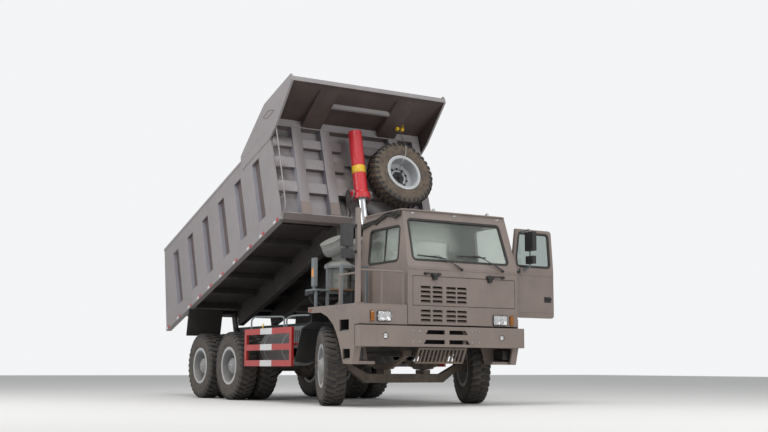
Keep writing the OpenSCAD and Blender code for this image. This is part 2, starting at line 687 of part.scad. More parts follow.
module driver_door() color(brown) door_place() difference() {
    union() {
        intersection() {
            difference() {
                cab_form(0, cab_low);
                cab_form(cab_wall, cab_low);
            }
            along_y(cab_left - cab_taper - cab_wall - 30, cab_left + 10) door_outline(-panel_gap);
        }
        for (z = [1841, 2341]) {
            box([door_x1 - 70, cab_left - 10, z], [door_x1 - 25, cab_left + 20, z + 80]);
            box([door_x1 - 70, cab_left + 8, z], [hinge_door.x, hinge_door.y + 12, z + 80]);
            translate([hinge_door.x, hinge_door.y, z]) cylinder(h = 80, r = 22);
        }
    }
    along_y(cab_left - cab_taper - cab_wall - 30, cab_left + 10) door_window_outline();
    for (z = [1840, 2340]) translate([hinge_door.x, hinge_door.y, z]) cylinder(h = 100, r = 12 + pin_gap);
}

module pane() difference() {
    cab_form(20, cab_low);
    cab_form(20 + glass_t, cab_low);
}

module door_glass() color(glassy) door_place() intersection() {
    pane();
    along_y(cab_left - cab_taper - cab_wall - 30, cab_left + 10) door_window_outline();
}

module cab_glass() color(glassy) {
    intersection() {
        pane();
        along_x(cab_front - 500, cab_front + 10) screen_outline();
    }
    intersection() {
        pane();
        along_y(-cab_right - 10, -cab_right + cab_taper + cab_wall + 30) side_window_outline();
    }
    intersection() {
        pane();
        along_x(-cab_rear - 10, -cab_rear + cab_wall + 30) rear_window_outline();
    }
}

// The left face of the cab and door at a height over the belt
function door_face(z) = cab_left - cab_taper * (z - cab_belt) / (cab_top - 64 - cab_belt);

// Two mirrors on a bent tube from the door
mirror_x = door_x1 - 255;
module door_mirrors() color(dark) door_place() {
    y = cab_left + 150;
    bent_rod([[mirror_x, door_face(3060) + 5, 3060], [mirror_x, y, 3080], [mirror_x, y, 2400],
        [mirror_x, cab_left + 3.4, 2370]], 14);
    box([mirror_x - 45, y - 90, 2690], [mirror_x + 45, y + 130, 3030]);
    box([mirror_x - 40, y - 80, 2460], [mirror_x + 40, y + 120, 2600]);
}

// Dashboard, steering wheel and seat
module cab_interior() color(dark) {
    floor_z = cab_floor + cab_wall + seat_gap;
    dash_x = apron_x - cab_wall - seat_gap;
    side_profile([[dash_x, floor_z + 200], [dash_x, 2330], [dash_x - 250, 2260], [dash_x - 250, 2050], [dash_x - 120, floor_z + 200]],
        -cab_right + cab_wall + 20, cab_left - cab_wall - 20);
    seat_y = 1000;
    box([-60, seat_y - 240, floor_z], [400, seat_y + 240, floor_z + 330]);
    box([-60, seat_y - 250, floor_z + 330], [440, seat_y + 250, floor_z + 450]);
    side_profile([[-60, floor_z + 400], [60, floor_z + 400], [-40, floor_z + 1100], [-140, floor_z + 1100]],
        seat_y - 240, seat_y + 240);
    rod([dash_x - 150, seat_y, 2080], [dash_x - 330, seat_y, 2330], 30);
    translate([dash_x - 330, seat_y, 2330]) rotate([0, -36, 0]) rotate_extrude() translate([225, 0]) circle(16, $fn = 16);
    for (a = [0 : 120 : 240]) translate([dash_x - 330, seat_y, 2330]) rotate([0, -36, 0]) rotate([0, 0, a])
        translate([0, -15, -10]) cube([225, 30, 20]);
    box([-100, -550, floor_z], [500, 500, floor_z + 250]);
}

// Lamps: [y, z, width, height]
head_lamps = [[-1172, 1460, 262, 165], [1154, 1444, 300, 178]];
turn_lamps = [[-1392, 1460, 72, 170], [1402, 1444, 74, 170]];
module lamps() color([0.85, 0.85, 0.8]) {
    for (l = concat(head_lamps, turn_lamps)) along_x(cab_front + seat_gap, cab_front + 34)
        round_rect([l[0] - l[2] / 2, l[1] - l[3] / 2], [l[0] + l[2] / 2, l[1] + l[3] / 2], 24);
    for (s = [RIGHT, LEFT]) translate([bumper_x - 30, s * fog_y, fog_z]) rotate([0, 90, 0]) cylinder(h = 36, r = fog_r + 4 - seat_gap);
    for (y = [94, 1235]) translate([roof_x - 200, y, cab_top + seat_gap]) cylinder(h = 60, r = 45);
}

// Post on the platform's corner with two mirrors
mast_y = -1616;
mast_top = 3200;
mast_half = 36;
module mirror_mast() color(brown) {
    box([cab_front - 108, mast_y - mast_half, deck_z + seat_gap], [cab_front - 36, mast_y + mast_half, mast_top]);
    for (z = [2900, 2480]) rod([cab_front - 72, mast_y, z], [cab_front - 72, mast_y - 190, z], 14);
    box([cab_front - 110, mast_y - 311, 2560], [cab_front - 40, mast_y - 100, 2930]);
    box([cab_front - 110, mast_y - 300, 2370], [cab_front - 40, mast_y - 110, 2520]);
    rod([cab_front - 72, mast_y - 205, 2500], [cab_front - 72, mast_y - 205, 2580], 14);
}

rail_z = 2200;
// Guard rail across the platform's front and along its side
module handrails() color(brown) {
    y0 = mast_y + mast_half + seat_gap;
    y1 = -cab_right - 50;
    x0 = cab_front - 72;
    bent_rod([[x0, y0, rail_z], [x0, y1, rail_z], [x0, y1, deck_z + seat_gap]], 16);
    rod([x0, (y0 + y1) / 2, deck_z + seat_gap], [x0, (y0 + y1) / 2, rail_z], 13);
    bent_rod([[cab_front - 108 - seat_gap, mast_y, 2150], [600, mast_y, 2150], [600, mast_y, deck_z + seat_gap]], 16);
}

// Stand for the air cleaners
stand_x = -420;
shelf_z = 1970;
module cleaner_stand() color(grey) {
    box([-700, -1260, shelf_z], [-330, -330, shelf_z + 24]);
    for (p = [[-440, -1290], [60, -1290], [60, -790]])
        box([p[0] - 30, p[1] - 30, deck_z + seat_gap], [p[0] + 30, p[1] + 30, 2440]);
    box([-410, -1316, 2380], [30, -1264, 2440]);
    box([34, -1260, 2380], [86, -820, 2440]);
    box([-470, -1290, shelf_z - 60], [-410, -340, shelf_z + 1]);
    box([-470, -435, rail_top + seat_gap], [-410, -365, shelf_z]);
}

cleaner_r = 182;
cleaners = [[-505, -1020], [-515, -560]];
module air_cleaners() color(grey) for (c = cleaners) translate([c[0], c[1], shelf_z + 24 + seat_gap]) {
    cylinder(h = 360, r = cleaner_r);
    translate([0, 0, 360]) cylinder(h = 50, r = cleaner_r + 30, $fn = 8);
    translate([0, 0, 410]) cylinder(h = 60, r1 = cleaner_r + 30, r2 = cleaner_r - 40);
    translate([0, 0, 440]) rotate([24, -8, 0]) cylinder(h = 330, r = cleaner_r + 10);
}

// Drum tanks and battery boxes between the axles
tank_y = 1060;
tank_r = 330;
tank_z = rail_top - 300;
box_out = 1400;
module fuel_tanks() color(dark) for (s = [RIGHT, LEFT]) {
    y = s * (frame_w / 2 + seat_gap);
    translate([guard_x0 + 170, s * tank_y, tank_z]) rotate([0, 90, 0]) cylinder(h = 1250, r = tank_r);
    for (x = [guard_x0 + 320, guard_x0 + 1120])
        box([x, min(y, s * 800), tank_z], [x + 100, max(y, s * 800), tank_z + 250]);
    box([-1550, min(y, s * box_out), 980], [-1050, max(y, s * box_out), 1290]);
}

guard_x0 = -3120;
guard_x1 = -1100;
guard_z0 = 655;
guard_z1 = 1350;
module side_guards() color([0.75, 0.1, 0.08]) for (s = [RIGHT, LEFT]) {
    y = s * 1620;
    for (x = [guard_x0, guard_x1 - 90]) box([x, y - 25, guard_z0], [x + 90, y + 25, guard_z1]);
    for (z = [guard_z0, (guard_z0 + guard_z1) / 2 - 55, guard_z1 - 110])
        box([guard_x0 + 1, y - 25, z], [guard_x1 - 1, y + 25, z + 110]);
    rod([-2600, s * 1600, tank_z], [-2600, s * (tank_y + tank_r + seat_gap), tank_z], 24);
    rod([-1300, s * 1600, 1000 + 50], [-1300, s * (box_out + seat_gap), 1000 + 50], 24);
}

// Bed, drawn with the lower front edge at its own origin and X along the floor

module bed_place() translate([hinge_x, 0, hinge_z]) rotate([0, -bed_tilt, 0])
    translate([bed_ahead, 0, bed_over]) children();

half_w = bed_w / 2;
inner_half = half_w - side_t;
floor_low = 150;
floor_t = 40;
floor_top = floor_low + floor_t;
kick_x = 4950;
kick_rise = 430;
tail_x = bed_len - 90;

function wall_x(z) = wall_ahead + wall_lean * z / bed_h;
function tail_edge(z) = -bed_len + tail_lean * z / side_h;

module bed_floor() color(brown) bed_place()
    side_profile([[wall_x(floor_low) - front_t - seat_gap, floor_low], [wall_x(floor_top) - front_t - seat_gap, floor_top],
        [-kick_x, floor_top], [-tail_x, floor_top + kick_rise], [-tail_x, floor_low + kick_rise], [-kick_x, floor_low]],
        -inner_half + seat_gap, inner_half - seat_gap);

slot_low = 320;
slot_high = 1540;
slot_deep = 75;
slots = 6;
first_slot = -890;
// Thickness of the side walls beside the front wall
skin_t = 60;
// Band at the bottom and flange at the top, which stand out from the side wall's face
band_h = 70;
band_out = 10;

// Plan of one recess: its rear flank slants
module slot_plan(side) polygon([for (p = [[0, -20], [slot_w, -20], [slot_w, slot_deep], [45, slot_deep]])
    [p.x, side * (half_w - p.y)]]);

module bed_side(side) color(brown) bed_place() {
    y_out = side * half_w;
    y_in = side * inner_half;
    difference() {
        side_profile([[0, 0], [0, side_h], [tail_edge(side_h), side_h + 10], [-bed_len, 0]],
            min(y_out, y_in), max(y_out, y_in));
        for (i = [0 : slots - 1]) translate([first_slot - i * slot_pitch, 0, slot_low])
            linear_extrude(slot_high - slot_low) slot_plan(side);
        // Face between the band and the flange
        box([-bed_len - 10, side > 0 ? half_w - band_out : -half_w - 10, band_h],
            [10, side > 0 ? half_w + 10 : -half_w + band_out, side_h - 45]);
        // The front wall fits inboard of the skin
        box([-wall_back, side > 0 ? inner_half - 5 : -half_w + skin_t, -10],
            [10, side > 0 ? half_w - skin_t : -inner_half + 5, side_h + 20]);
    }
}

// Upright ribs of the front wall: the middle of each
wall_ribs = [-1160, -540, 1004, 1560];
rib_w = 200;
// Height spans of the panels between the cross ribs
wall_panels = [[125, bed_h - 1485], [bed_h - 1277, bed_h - 986], [bed_h - 780, bed_h - 548],
    [bed_h - 366, bed_h - 150]];
cross_back = 40;
wall_half = half_w - skin_t - seat_gap;
wall_back = front_t - wall_ahead + seat_gap;
cheek_half = 205;
cheek_t = 32;
trunnion_r = 40;
carrier_r = 105;

module bed_front_wall() color(brown) bed_place() {
    difference() {
        side_profile([[wall_x(0) - 60, 0], [wall_x(110), 110], [wall_x(bed_h), bed_h], [wall_x(bed_h) - front_t, bed_h],
            [-wall_back + seat_gap, 0]], -wall_half, wall_half);
        for (i = [0 : len(wall_ribs)]) {
            y0 = i == 0 ? -wall_half - 10 : wall_ribs[i - 1] + rib_w / 2;
            y1 = i == len(wall_ribs) ? wall_half + 10 : wall_ribs[i] - rib_w / 2;
            for (b = wall_panels) wall_recess(b, y0, y1, recess);
            wall_recess([wall_panels[0][0], wall_panels[3][1]], y0, y1, cross_back);
        }
        // Plain channel behind the hoist
        wall_recess([-10, wall_panels[3][1]], foot_y - 190, foot_y + 190, recess);
    }
    // Cheeks that hold the hoist's trunnions
    difference() {
        for (s = [-1, 1]) {
            y = foot_y + s * (cheek_half - cheek_t / 2);
            side_profile([[-60, trunnion_z - 140], [trunnion_x + 30, trunnion_z - 75], [trunnion_x + 75, trunnion_z],
                [trunnion_x + 30, trunnion_z + 75], [-60, trunnion_z + 140]], y - cheek_t / 2, y + cheek_t / 2);
        }
        translate([trunnion_x, foot_y - 300, trunnion_z]) rotate([-90, 0, 0]) cylinder(h = 600, r = trunnion_r + pin_gap);
    }
    // Stub that carries the spare wheel
    translate([wall_x(spare_z) - recess - 5, spare_y, spare_z]) rotate([0, 90, 0])
        cylinder(h = spare_x + spare_disc - seat_gap - wall_x(spare_z) + recess + 5, r = carrier_r);
}

module wall_recess(b, y0, y1, deep) side_profile([[wall_x(b[0]) - deep, b[0]], [wall_x(b[1]) - deep, b[1]],
    [wall_x(b[1]) + 60, b[1]], [wall_x(b[0]) + 60, b[0]]], y0, y1);

canopy_x = wall_x(bed_h) + canopy_reach;
canopy_z = bed_h + canopy_rise;
lip_h = 92;
// Lower front corner of the side plates, and their bend
plate_low = 1657;
plate_bend = [335, 1785];
plate_top = canopy_z + 160;
module bed_canopy() color(brown) bed_place() {
    // Top sheet with its front lip
    side_profile([[wall_x(bed_h) - front_t, bed_h + seat_gap], [wall_x(bed_h), bed_h + seat_gap],
        [canopy_x, canopy_z], [canopy_x, canopy_z + lip_h], [wall_x(bed_h) - front_t, bed_h + lip_h]],
        -half_w + 1, half_w - 1);
    // Side plates: ahead of the walls, and back over them to the top rail
    for (s = [RIGHT, LEFT]) side_profile([[seat_gap, plate_low], plate_bend, [canopy_x, canopy_z],
        [canopy_x - 12, plate_top - 20], [-24, plate_top], [-1139, 2017], [-1290, 1950], [-1310, side_h + 3],
        [seat_gap, side_h + seat_gap]], s > 0 ? half_w - 40 : -half_w, s > 0 ? half_w : -half_w + 40);
    // Ribs under the sheet, and the flange of the stiffener between them
    for (y = [-canopy_rib_y, canopy_rib_y]) side_profile([[wall_x(bed_h) + 5, bed_h + 7], [canopy_x - 110, canopy_z - 18],
        [canopy_x - 150, canopy_z - 50], [wall_x(bed_h) + 5, bed_h - 130]], y - 205, y + 205);
    box([640, -canopy_rib_y + 200, canopy_mid - 70], [700, canopy_rib_y - 200, canopy_mid + 30]);
}
canopy_rib_y = 840;
canopy_mid = bed_h + canopy_rise * (640 - wall_x(bed_h)) / canopy_reach;

sill_y = frame_w / 2 - 50;
sill_low = -262;
lug_r = 90;
// Beams under the floor, with the hinge lugs
module bed_sills() color(dark) bed_place() difference() {
    union() {
        for (s = [RIGHT, LEFT]) {
            box([-bed_ahead + 100, s * sill_y - 60, sill_low], [-wall_back - seat_gap, s * sill_y + 60, floor_low - seat_gap]);
            lug_y = s * (hinge_half + ear_t / 2);
            translate([-bed_ahead, lug_y - ear_t / 2, -bed_over]) rotate([-90, 0, 0]) cylinder(h = ear_t, r = lug_r);
            box([-bed_ahead - lug_r, lug_y - ear_t / 2, -bed_over], [-bed_ahead + lug_r, lug_y + ear_t / 2, 40]);
        }
        for (i = [0 : 5]) box([-400 - i * slot_pitch, -inner_half + 1, 40], [-280 - i * slot_pitch, inner_half - 1, floor_low - seat_gap]);
        box([-bed_ahead - 90, -inner_half + 1, 0], [-bed_ahead + 90, inner_half - 1, floor_low - seat_gap]);
    }
    translate([-bed_ahead, -1000, -bed_over]) rotate([-90, 0, 0]) cylinder(h = 2000, r = hinge_pin_r + pin_gap);
}

// Rungs where the wall's cross ribs are
ladder_rungs = [bed_h - 1380, bed_h - 880, bed_h - 460];
module bed_ladder() color(brown) bed_place() {
    y = -half_w + 130;
    top = bed_h - 400;
    rod([wall_x(top) + 90, y, top], [wall_x(60) + 90, y, 60], 14);
    rod([wall_x(125) + seat_gap + 0.2, y, 116], [wall_x(116) + 90, y, 116], 12);
    for (z = ladder_rungs) rod([wall_x(z) - cross_back + seat_gap + 1, y, z], [wall_x(z) + 90, y, z], 12);
}

module mud_flaps() color(rubber) bed_place() for (s = [RIGHT, LEFT])
    side_profile([[-bed_ahead + 350, -seat_gap], [-bed_ahead + 310, -seat_gap], [-bed_ahead + 30, -490], [-bed_ahead + 50, -500]],
        s > 0 ? 900 : -half_w + 20, s > 0 ? half_w - 20 : -900);

// Spare wheel on the front wall
spare_y = 875;
spare_z = 975;
spare_back = 50;
spare_disc = -90;
spare_x = wall_x(spare_z) + spare_back + tyre_w / 2;
module spare_place() bed_place() translate([spare_x, spare_y, spare_z]) rotate([0, 90, 0]) children();
module spare_tyre() spare_place() tyre();
module spare_wheel() color(steel) spare_place() difference() {
    union() {
        rim_barrel();
        translate([0, 0, spare_disc]) cylinder(h = disc_t, r = rim_r - rim_t + 1);
    }
    for (i = [0 : 9]) rotate([0, 0, i * 36]) translate([190, 0, spare_disc - 10]) cylinder(h = 60, r = 30);
}

// Hoist

foot = [foot_x, foot_y, hoist_foot_z];
bed_front = [hinge_x + bed_ahead * cos(bed_tilt) - bed_over * sin(bed_tilt), 0,
    hinge_z + bed_ahead * sin(bed_tilt) + bed_over * cos(bed_tilt)];
trunnion = [bed_front.x + trunnion_x * cos(bed_tilt) - trunnion_z * sin(bed_tilt), foot_y,
    bed_front.z + trunnion_x * sin(bed_tilt) + trunnion_z * cos(bed_tilt)];
hoist_len = norm(trunnion - foot);
hoist_lean = atan2(foot.x - trunnion.x, trunnion.z - foot.z);
barrel_low = 95;
// The hoist's length with the bed lowered, and each stage's travel from there
closed_len = norm([hinge_x + bed_ahead + trunnion_x - foot_x, hinge_z + bed_over + trunnion_z - hoist_foot_z]);
travel = (hoist_len - closed_len) / 3;
stage_lip = 20;
cap_t = 30;

// The hoist's own frame: origin at the trunnion, +Z along the barrel, away from the foot
module hoist_place() translate(trunnion) rotate([0, -hoist_lean, 0]) children();

module hoist_barrel() color([0.8, 0.1, 0.1]) hoist_place() difference() {
    union() {
        translate([0, 0, -barrel_low]) cylinder(h = barrel_len + barrel_low, r = barrel_r);
        translate([0, 0, -barrel_low]) cylinder(h = 100, r = barrel_r + 33);
        translate([0, 0, 5 - 1]) cylinder(h = 50, r1 = barrel_r + 33, r2 = barrel_r + 10);
        rotate([90, 0, 0]) translate([0, 0, -cheek_half]) cylinder(h = 2 * cheek_half, r = trunnion_r);
    }
    translate([0, 0, -barrel_low - 1]) cylinder(h = barrel_len + barrel_low + 1 - cap_t, r = stage_r + pin_gap);
}

stage_step = 18;
a_len = barrel_len + barrel_low - cap_t;
b_len = a_len - cap_t;
a_low = -barrel_low - stage_lip - travel;
b_low = a_low - stage_lip - travel;

// A hollow stage with a closed top
module stage(low, len, r) difference() {
    translate([0, 0, low]) cylinder(h = len, r = r);
    translate([0, 0, low - 1]) cylinder(h = len + 1 - cap_t, r = r - stage_step + pin_gap);
}
module hoist_stage_a() color(steel) hoist_place() stage(a_low, a_len, stage_r);
module hoist_stage_b() color(steel) hoist_place() stage(b_low, b_len, stage_r - stage_step);

// Innermost rod with its eye and pin
eye_half = foot_half - 6;
module hoist_rod() color(steel) hoist_place() {
    translate([0, 0, -hoist_len]) cylinder(h = b_len - cap_t - stage_lip + closed_len - barrel_low - 2 * stage_lip, r = stage_r - 2 * stage_step);
    translate([0, 0, -hoist_len]) rotate([90, 0, 0]) translate([0, 0, -eye_half]) cylinder(h = 2 * eye_half, r = 62);
}

place() frame();
place() fender_arms();
place() sub_frame();
place() engine_block();
place() radiator();
place() front_axle();
place() front_springs();
place() rear_axles();
place() rear_springs();
place() bumper();
place() skid_guard();
place() right_fender();
place() left_fender();
place() wheel_guards();
place() cab_shell();
place() cab_glass();
place() cab_interior();
place() front_flap();
place() lamps();
place() mirror_mast();
place() handrails();
place() cleaner_stand();
place() air_cleaners();
place() fuel_tanks();
place() side_guards();
place() knuckle(RIGHT);  // right_knuckle
place() knuckle(LEFT);  // left_knuckle
place() front_tyre_at(RIGHT);  // front_right_tyre
place() front_tyre_at(LEFT);  // front_left_tyre
place() front_wheel_at(RIGHT);  // front_right_wheel
place() front_wheel_at(LEFT);  // front_left_wheel
place() twin_tyres_at(middle_x, RIGHT);  // middle_right_tyres
place() twin_tyres_at(middle_x, LEFT);  // middle_left_tyres
place() twin_tyres_at(rear_x, RIGHT);  // rear_right_tyres
place() twin_tyres_at(rear_x, LEFT);  // rear_left_tyres
place() twin_wheels_at(middle_x, RIGHT);  // middle_right_wheels
place() twin_wheels_at(middle_x, LEFT);  // middle_left_wheels
place() twin_wheels_at(rear_x, RIGHT);  // rear_right_wheels
place() twin_wheels_at(rear_x, LEFT);  // rear_left_wheels
place() driver_door();
place() door_glass();
place() door_mirrors();
place() bed_floor();
place() bed_side(RIGHT);  // bed_right_side
place() bed_side(LEFT);  // bed_left_side
place() bed_front_wall();
place() bed_canopy();
place() bed_sills();
place() bed_ladder();
place() mud_flaps();
place() spare_tyre();
place() spare_wheel();
place() hoist_barrel();
place() hoist_stage_a();
place() hoist_stage_b();
place() hoist_rod();
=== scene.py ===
"""Looks of the six-wheel mining dump truck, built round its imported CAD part. Metres and degrees."""

from math import atan2, cos, degrees, exp, pi, radians, sin

import bmesh
import bpy
from mathutils import Matrix, Vector

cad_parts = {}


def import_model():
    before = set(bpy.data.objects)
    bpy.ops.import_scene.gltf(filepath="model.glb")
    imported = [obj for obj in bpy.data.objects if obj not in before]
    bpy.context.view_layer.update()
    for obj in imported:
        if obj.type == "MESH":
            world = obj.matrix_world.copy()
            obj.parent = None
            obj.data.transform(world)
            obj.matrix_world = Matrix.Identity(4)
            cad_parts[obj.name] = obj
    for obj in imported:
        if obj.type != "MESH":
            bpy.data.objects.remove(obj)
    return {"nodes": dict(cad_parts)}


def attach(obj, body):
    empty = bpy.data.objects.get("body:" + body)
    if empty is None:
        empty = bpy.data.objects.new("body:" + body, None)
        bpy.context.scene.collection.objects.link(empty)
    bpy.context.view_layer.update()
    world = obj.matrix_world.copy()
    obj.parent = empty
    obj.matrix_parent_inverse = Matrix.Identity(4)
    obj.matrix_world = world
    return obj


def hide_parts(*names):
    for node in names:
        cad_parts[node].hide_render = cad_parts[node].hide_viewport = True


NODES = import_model()["nodes"]
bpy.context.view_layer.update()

# The truck's own frame has its front axle at x = 0 and its centreline at y = 0
PLACE = Vector((3.1275, -0.309, 0))
SIDES = ((-1, "right"), (1, "left"))

# Driving sizes, as in the part
TYRE_R, TYRE_W, RIM_R = 0.665, 0.375, 0.32
MIDDLE_X, REAR_X = -3.8, -5.3
FRONT_Y, KINGPIN_IN = 1.43, 0.13
TWIN_IN, TWIN_OUT = 1.055, 1.505
STEER, BED_TILT, DOOR_OPEN = -19, 18.1, 88
BED_HINGE, BED_CORNER = (-6.2, 0, 1.45), (5.01, 0, 0.327)
BED_HALF, SIDE_T, BED_H = 1.697, 0.12, 2.06
WALL_AHEAD, WALL_LEAN = 0.063, 0.058
TRUNNION, FOOT = Vector((0.203, 0, 0.551)), Vector((-1.01, 0, 1.56))
BARREL_R, BARREL_LEN, BARREL_LOW = 0.132, 1.286, 0.095
CAB_FRONT, CAB_REAR, CAB_RIGHT, CAB_LEFT = 1.27, 0.3, 0.711, 1.54
CAB_KNEE, CAB_TOP, CAB_TAPER, CAB_BELT = 2.3, 3.3, 0.065, 2.39
SCREEN_SLOPE, SCREEN_OUT, SCREEN_UP = 0.2822, 0.9624, 0.2716
BUMPER_X, DECK_Z = 1.316, 1.66
DOOR_HINGE = (1.12, 1.585, 0)


def wall_x(z):
    """Front wall's rib plane at a height in the bed's frame"""
    return WALL_AHEAD + WALL_LEAN * z / BED_H


def screen_x(z):
    """Windscreen plane at a height"""
    return CAB_FRONT - SCREEN_SLOPE * (z - CAB_KNEE)


def side_y(z):
    """The cab's right side over the belt"""
    return -CAB_RIGHT + CAB_TAPER * max(0, z - CAB_BELT) / (CAB_TOP - 0.064 - CAB_BELT)


def shift(x, y, z):
    return Matrix.Translation((x, y, z))


def spin(angle, axis):
    return Matrix.Rotation(radians(angle), 4, axis)


def about(point, angle, axis):
    """A turn about an axis through a point"""
    point = Vector(point)
    return shift(*point) @ spin(angle, axis) @ shift(*-point)


# Frames in the shared frame: the truck, the bed at its lower front edge, the hoist at its trunnions, the door
TRUCK = shift(*PLACE)
BED = TRUCK @ shift(*BED_HINGE) @ spin(-BED_TILT, "Y") @ shift(*BED_CORNER)
_trunnion = BED @ TRUNNION - PLACE
_lean = degrees(atan2(FOOT.x - _trunnion.x, _trunnion.z - FOOT.z))
HOIST = TRUCK @ shift(*_trunnion) @ spin(-_lean, "Y")
DOOR = TRUCK @ about(DOOR_HINGE, -DOOR_OPEN, "Z")


def steered(side):
    """Frame of a front wheel: origin at its centre, +Z outboard"""
    turn = about((0, side * (FRONT_Y - KINGPIN_IN), 0), STEER, "Z")
    return TRUCK @ turn @ shift(0, side * FRONT_Y, TYRE_R) @ spin(-side * 90, "X")


def axle_place(x, y, side):
    """Frame of a rear wheel: origin at its centre, +Z outboard"""
    return TRUCK @ shift(x, side * y, TYRE_R) @ spin(-side * 90, "X")


# Camera and stage

def link(name, data):
    obj = bpy.data.objects.new(name, data)
    bpy.context.scene.collection.objects.link(obj)
    return obj


def make_camera():
    position = Vector((16.609, -10.423, 0.644)) + PLACE
    yaw, pitch, roll = 2.599, radians(7.763), radians(0.196)
    focal, width, sensor = 1109.1, 768, 36.0
    forward = Vector((cos(pitch) * cos(yaw), cos(pitch) * sin(yaw), sin(pitch)))
    right = forward.cross(Vector((0, 0, 1))).normalized()
    up = right.cross(forward)
    x_axis = cos(roll) * right + sin(roll) * up
    y_axis = -sin(roll) * right + cos(roll) * up
    data = bpy.data.cameras.new("camera")
    data.sensor_width = sensor
    data.lens = focal * sensor / width
    data.clip_end = 300
    camera = link("camera", data)
    camera.matrix_world = shift(*position) @ Matrix((x_axis, y_axis, -forward)).transposed().to_4x4()
    bpy.context.scene.camera = camera


def make_lights():
    for name, place, target, size, power in (
            ("sky_lamp", (6, -6, 16), (0, 0, 1), 12, 1500),
            ("front_lamp", (16, 3, 8), (2, 0, 2), 8, 620),
            ("side_lamp", (0, -15, 6), (-1, 0, 2.5), 9, 520)):
        data = bpy.data.lights.new(name, "AREA")
        data.shape, data.size, data.energy = "DISK", size, power
        lamp = link(name, data)
        lamp.location = place
        lamp.rotation_euler = (Vector(target) - Vector(place)).to_track_quat("-Z", "Y").to_euler()
    world = bpy.data.worlds.new("studio")
    world.use_nodes = True
    bpy.context.scene.world = world
    tree = world.node_tree
    lit, seen = tree.nodes["Background"], tree.nodes.new("ShaderNodeBackground")
    for node, colour, strength in ((lit, (0.83, 0.85, 0.87), 0.62), (seen, (0.9, 0.91, 0.92), 1)):
        node.inputs["Color"].default_value = (*colour, 1)
        node.inputs["Strength"].default_value = strength
    path = tree.nodes.new("ShaderNodeLightPath")
    mix = tree.nodes.new("ShaderNodeMixShader")
    tree.links.new(path.outputs["Is Camera Ray"], mix.inputs[0])
    tree.links.new(lit.outputs[0], mix.inputs[1])
    tree.links.new(seen.outputs[0], mix.inputs[2])
    tree.links.new(mix.outputs[0], tree.nodes["World Output"].inputs[0])


def make_floor(reach=60):
    mesh = bpy.data.meshes.new("floor")
    r = reach
    mesh.from_pydata([(-r, -r, 0), (r, -r, 0), (r, r, 0), (-r, r, 0)], [], [(0, 1, 2, 3)])
    floor = link("floor", mesh)
    mesh.materials.append(Finish("floor").done({"Base Color": (0.74, 0.73, 0.71), "Roughness": 0.85}))


# Materials

class Finish:
    """A material, with short calls that add and link its shader nodes"""

    def __init__(self, name):
        self.material = bpy.data.materials.new(name)
        self.material.use_nodes = True
        self.tree = self.material.node_tree
        self.coords = self.tree.nodes.new("ShaderNodeTexCoord")

    def put(self, socket, value):
        """Links a socket to a node's output, or sets it to a number or colour"""
        if isinstance(value, bpy.types.NodeSocket):
            self.tree.links.new(value, socket)
        elif socket.type == "RGBA":
            socket.default_value = (*value, 1)
        else:
            socket.default_value = value

    def node(self, kind, result, sockets, **settings):
        node = self.tree.nodes.new("ShaderNode" + kind)
        for key, value in settings.items():
            setattr(node, key, value)
        for key, value in sockets.items():
            self.put(node.inputs[key], value)
        return node.outputs[result]

    def noise(self, scale, detail, rough, stretch=None):
        at = self.coords.outputs["Object"]
        if stretch:
            at = self.node("Mapping", "Vector", {"Scale": stretch, "Vector": at})
        return self.node("TexNoise", "Fac", {"Scale": scale, "Detail": detail, "Roughness": rough, "Vector": at})

    def ramp(self, value, low, high, to_low=0.0, to_high=1.0):
        return self.node("MapRange", "Result", {"From Min": low, "From Max": high, "To Min": to_low,
                                                "To Max": to_high, "Value": value})

    def times(self, a, b):
        return self.node("Math", 0, {0: a, 1: b}, operation="MULTIPLY")

    def plus(self, a, b):
        return self.node("Math", 0, {0: a, 1: b}, operation="ADD")

    def mix(self, factor, a, b):
        return self.node("Mix", "Result", {"Factor": factor, "A": a, "B": b}, data_type="RGBA")

    def upward(self, output):
        """The Z of a texture coordinate"""
        return self.node("SeparateXYZ", 2, {0: self.coords.outputs[output]})

    def bump(self, height, strength, distance, **under):
        return self.node("Bump", "Normal", {"Strength": strength, "Distance": distance, "Height": height, **under})

    def done(self, sockets):
        """Sets or links the shader's own sockets"""
        for key, value in sockets.items():
            self.put(self.tree.nodes["Principled BSDF"].inputs[key], value)
        return self.material


DUST, RUST, TAPE_DIRT = (0.3, 0.235, 0.175), (0.16, 0.06, 0.025), (0.2, 0.16, 0.12)
MUD, PALE_MUD = (0.17, 0.135, 0.105), (0.2, 0.15, 0.105)


def shade(colour, factor):
    return tuple(min(1, c * factor) for c in colour)


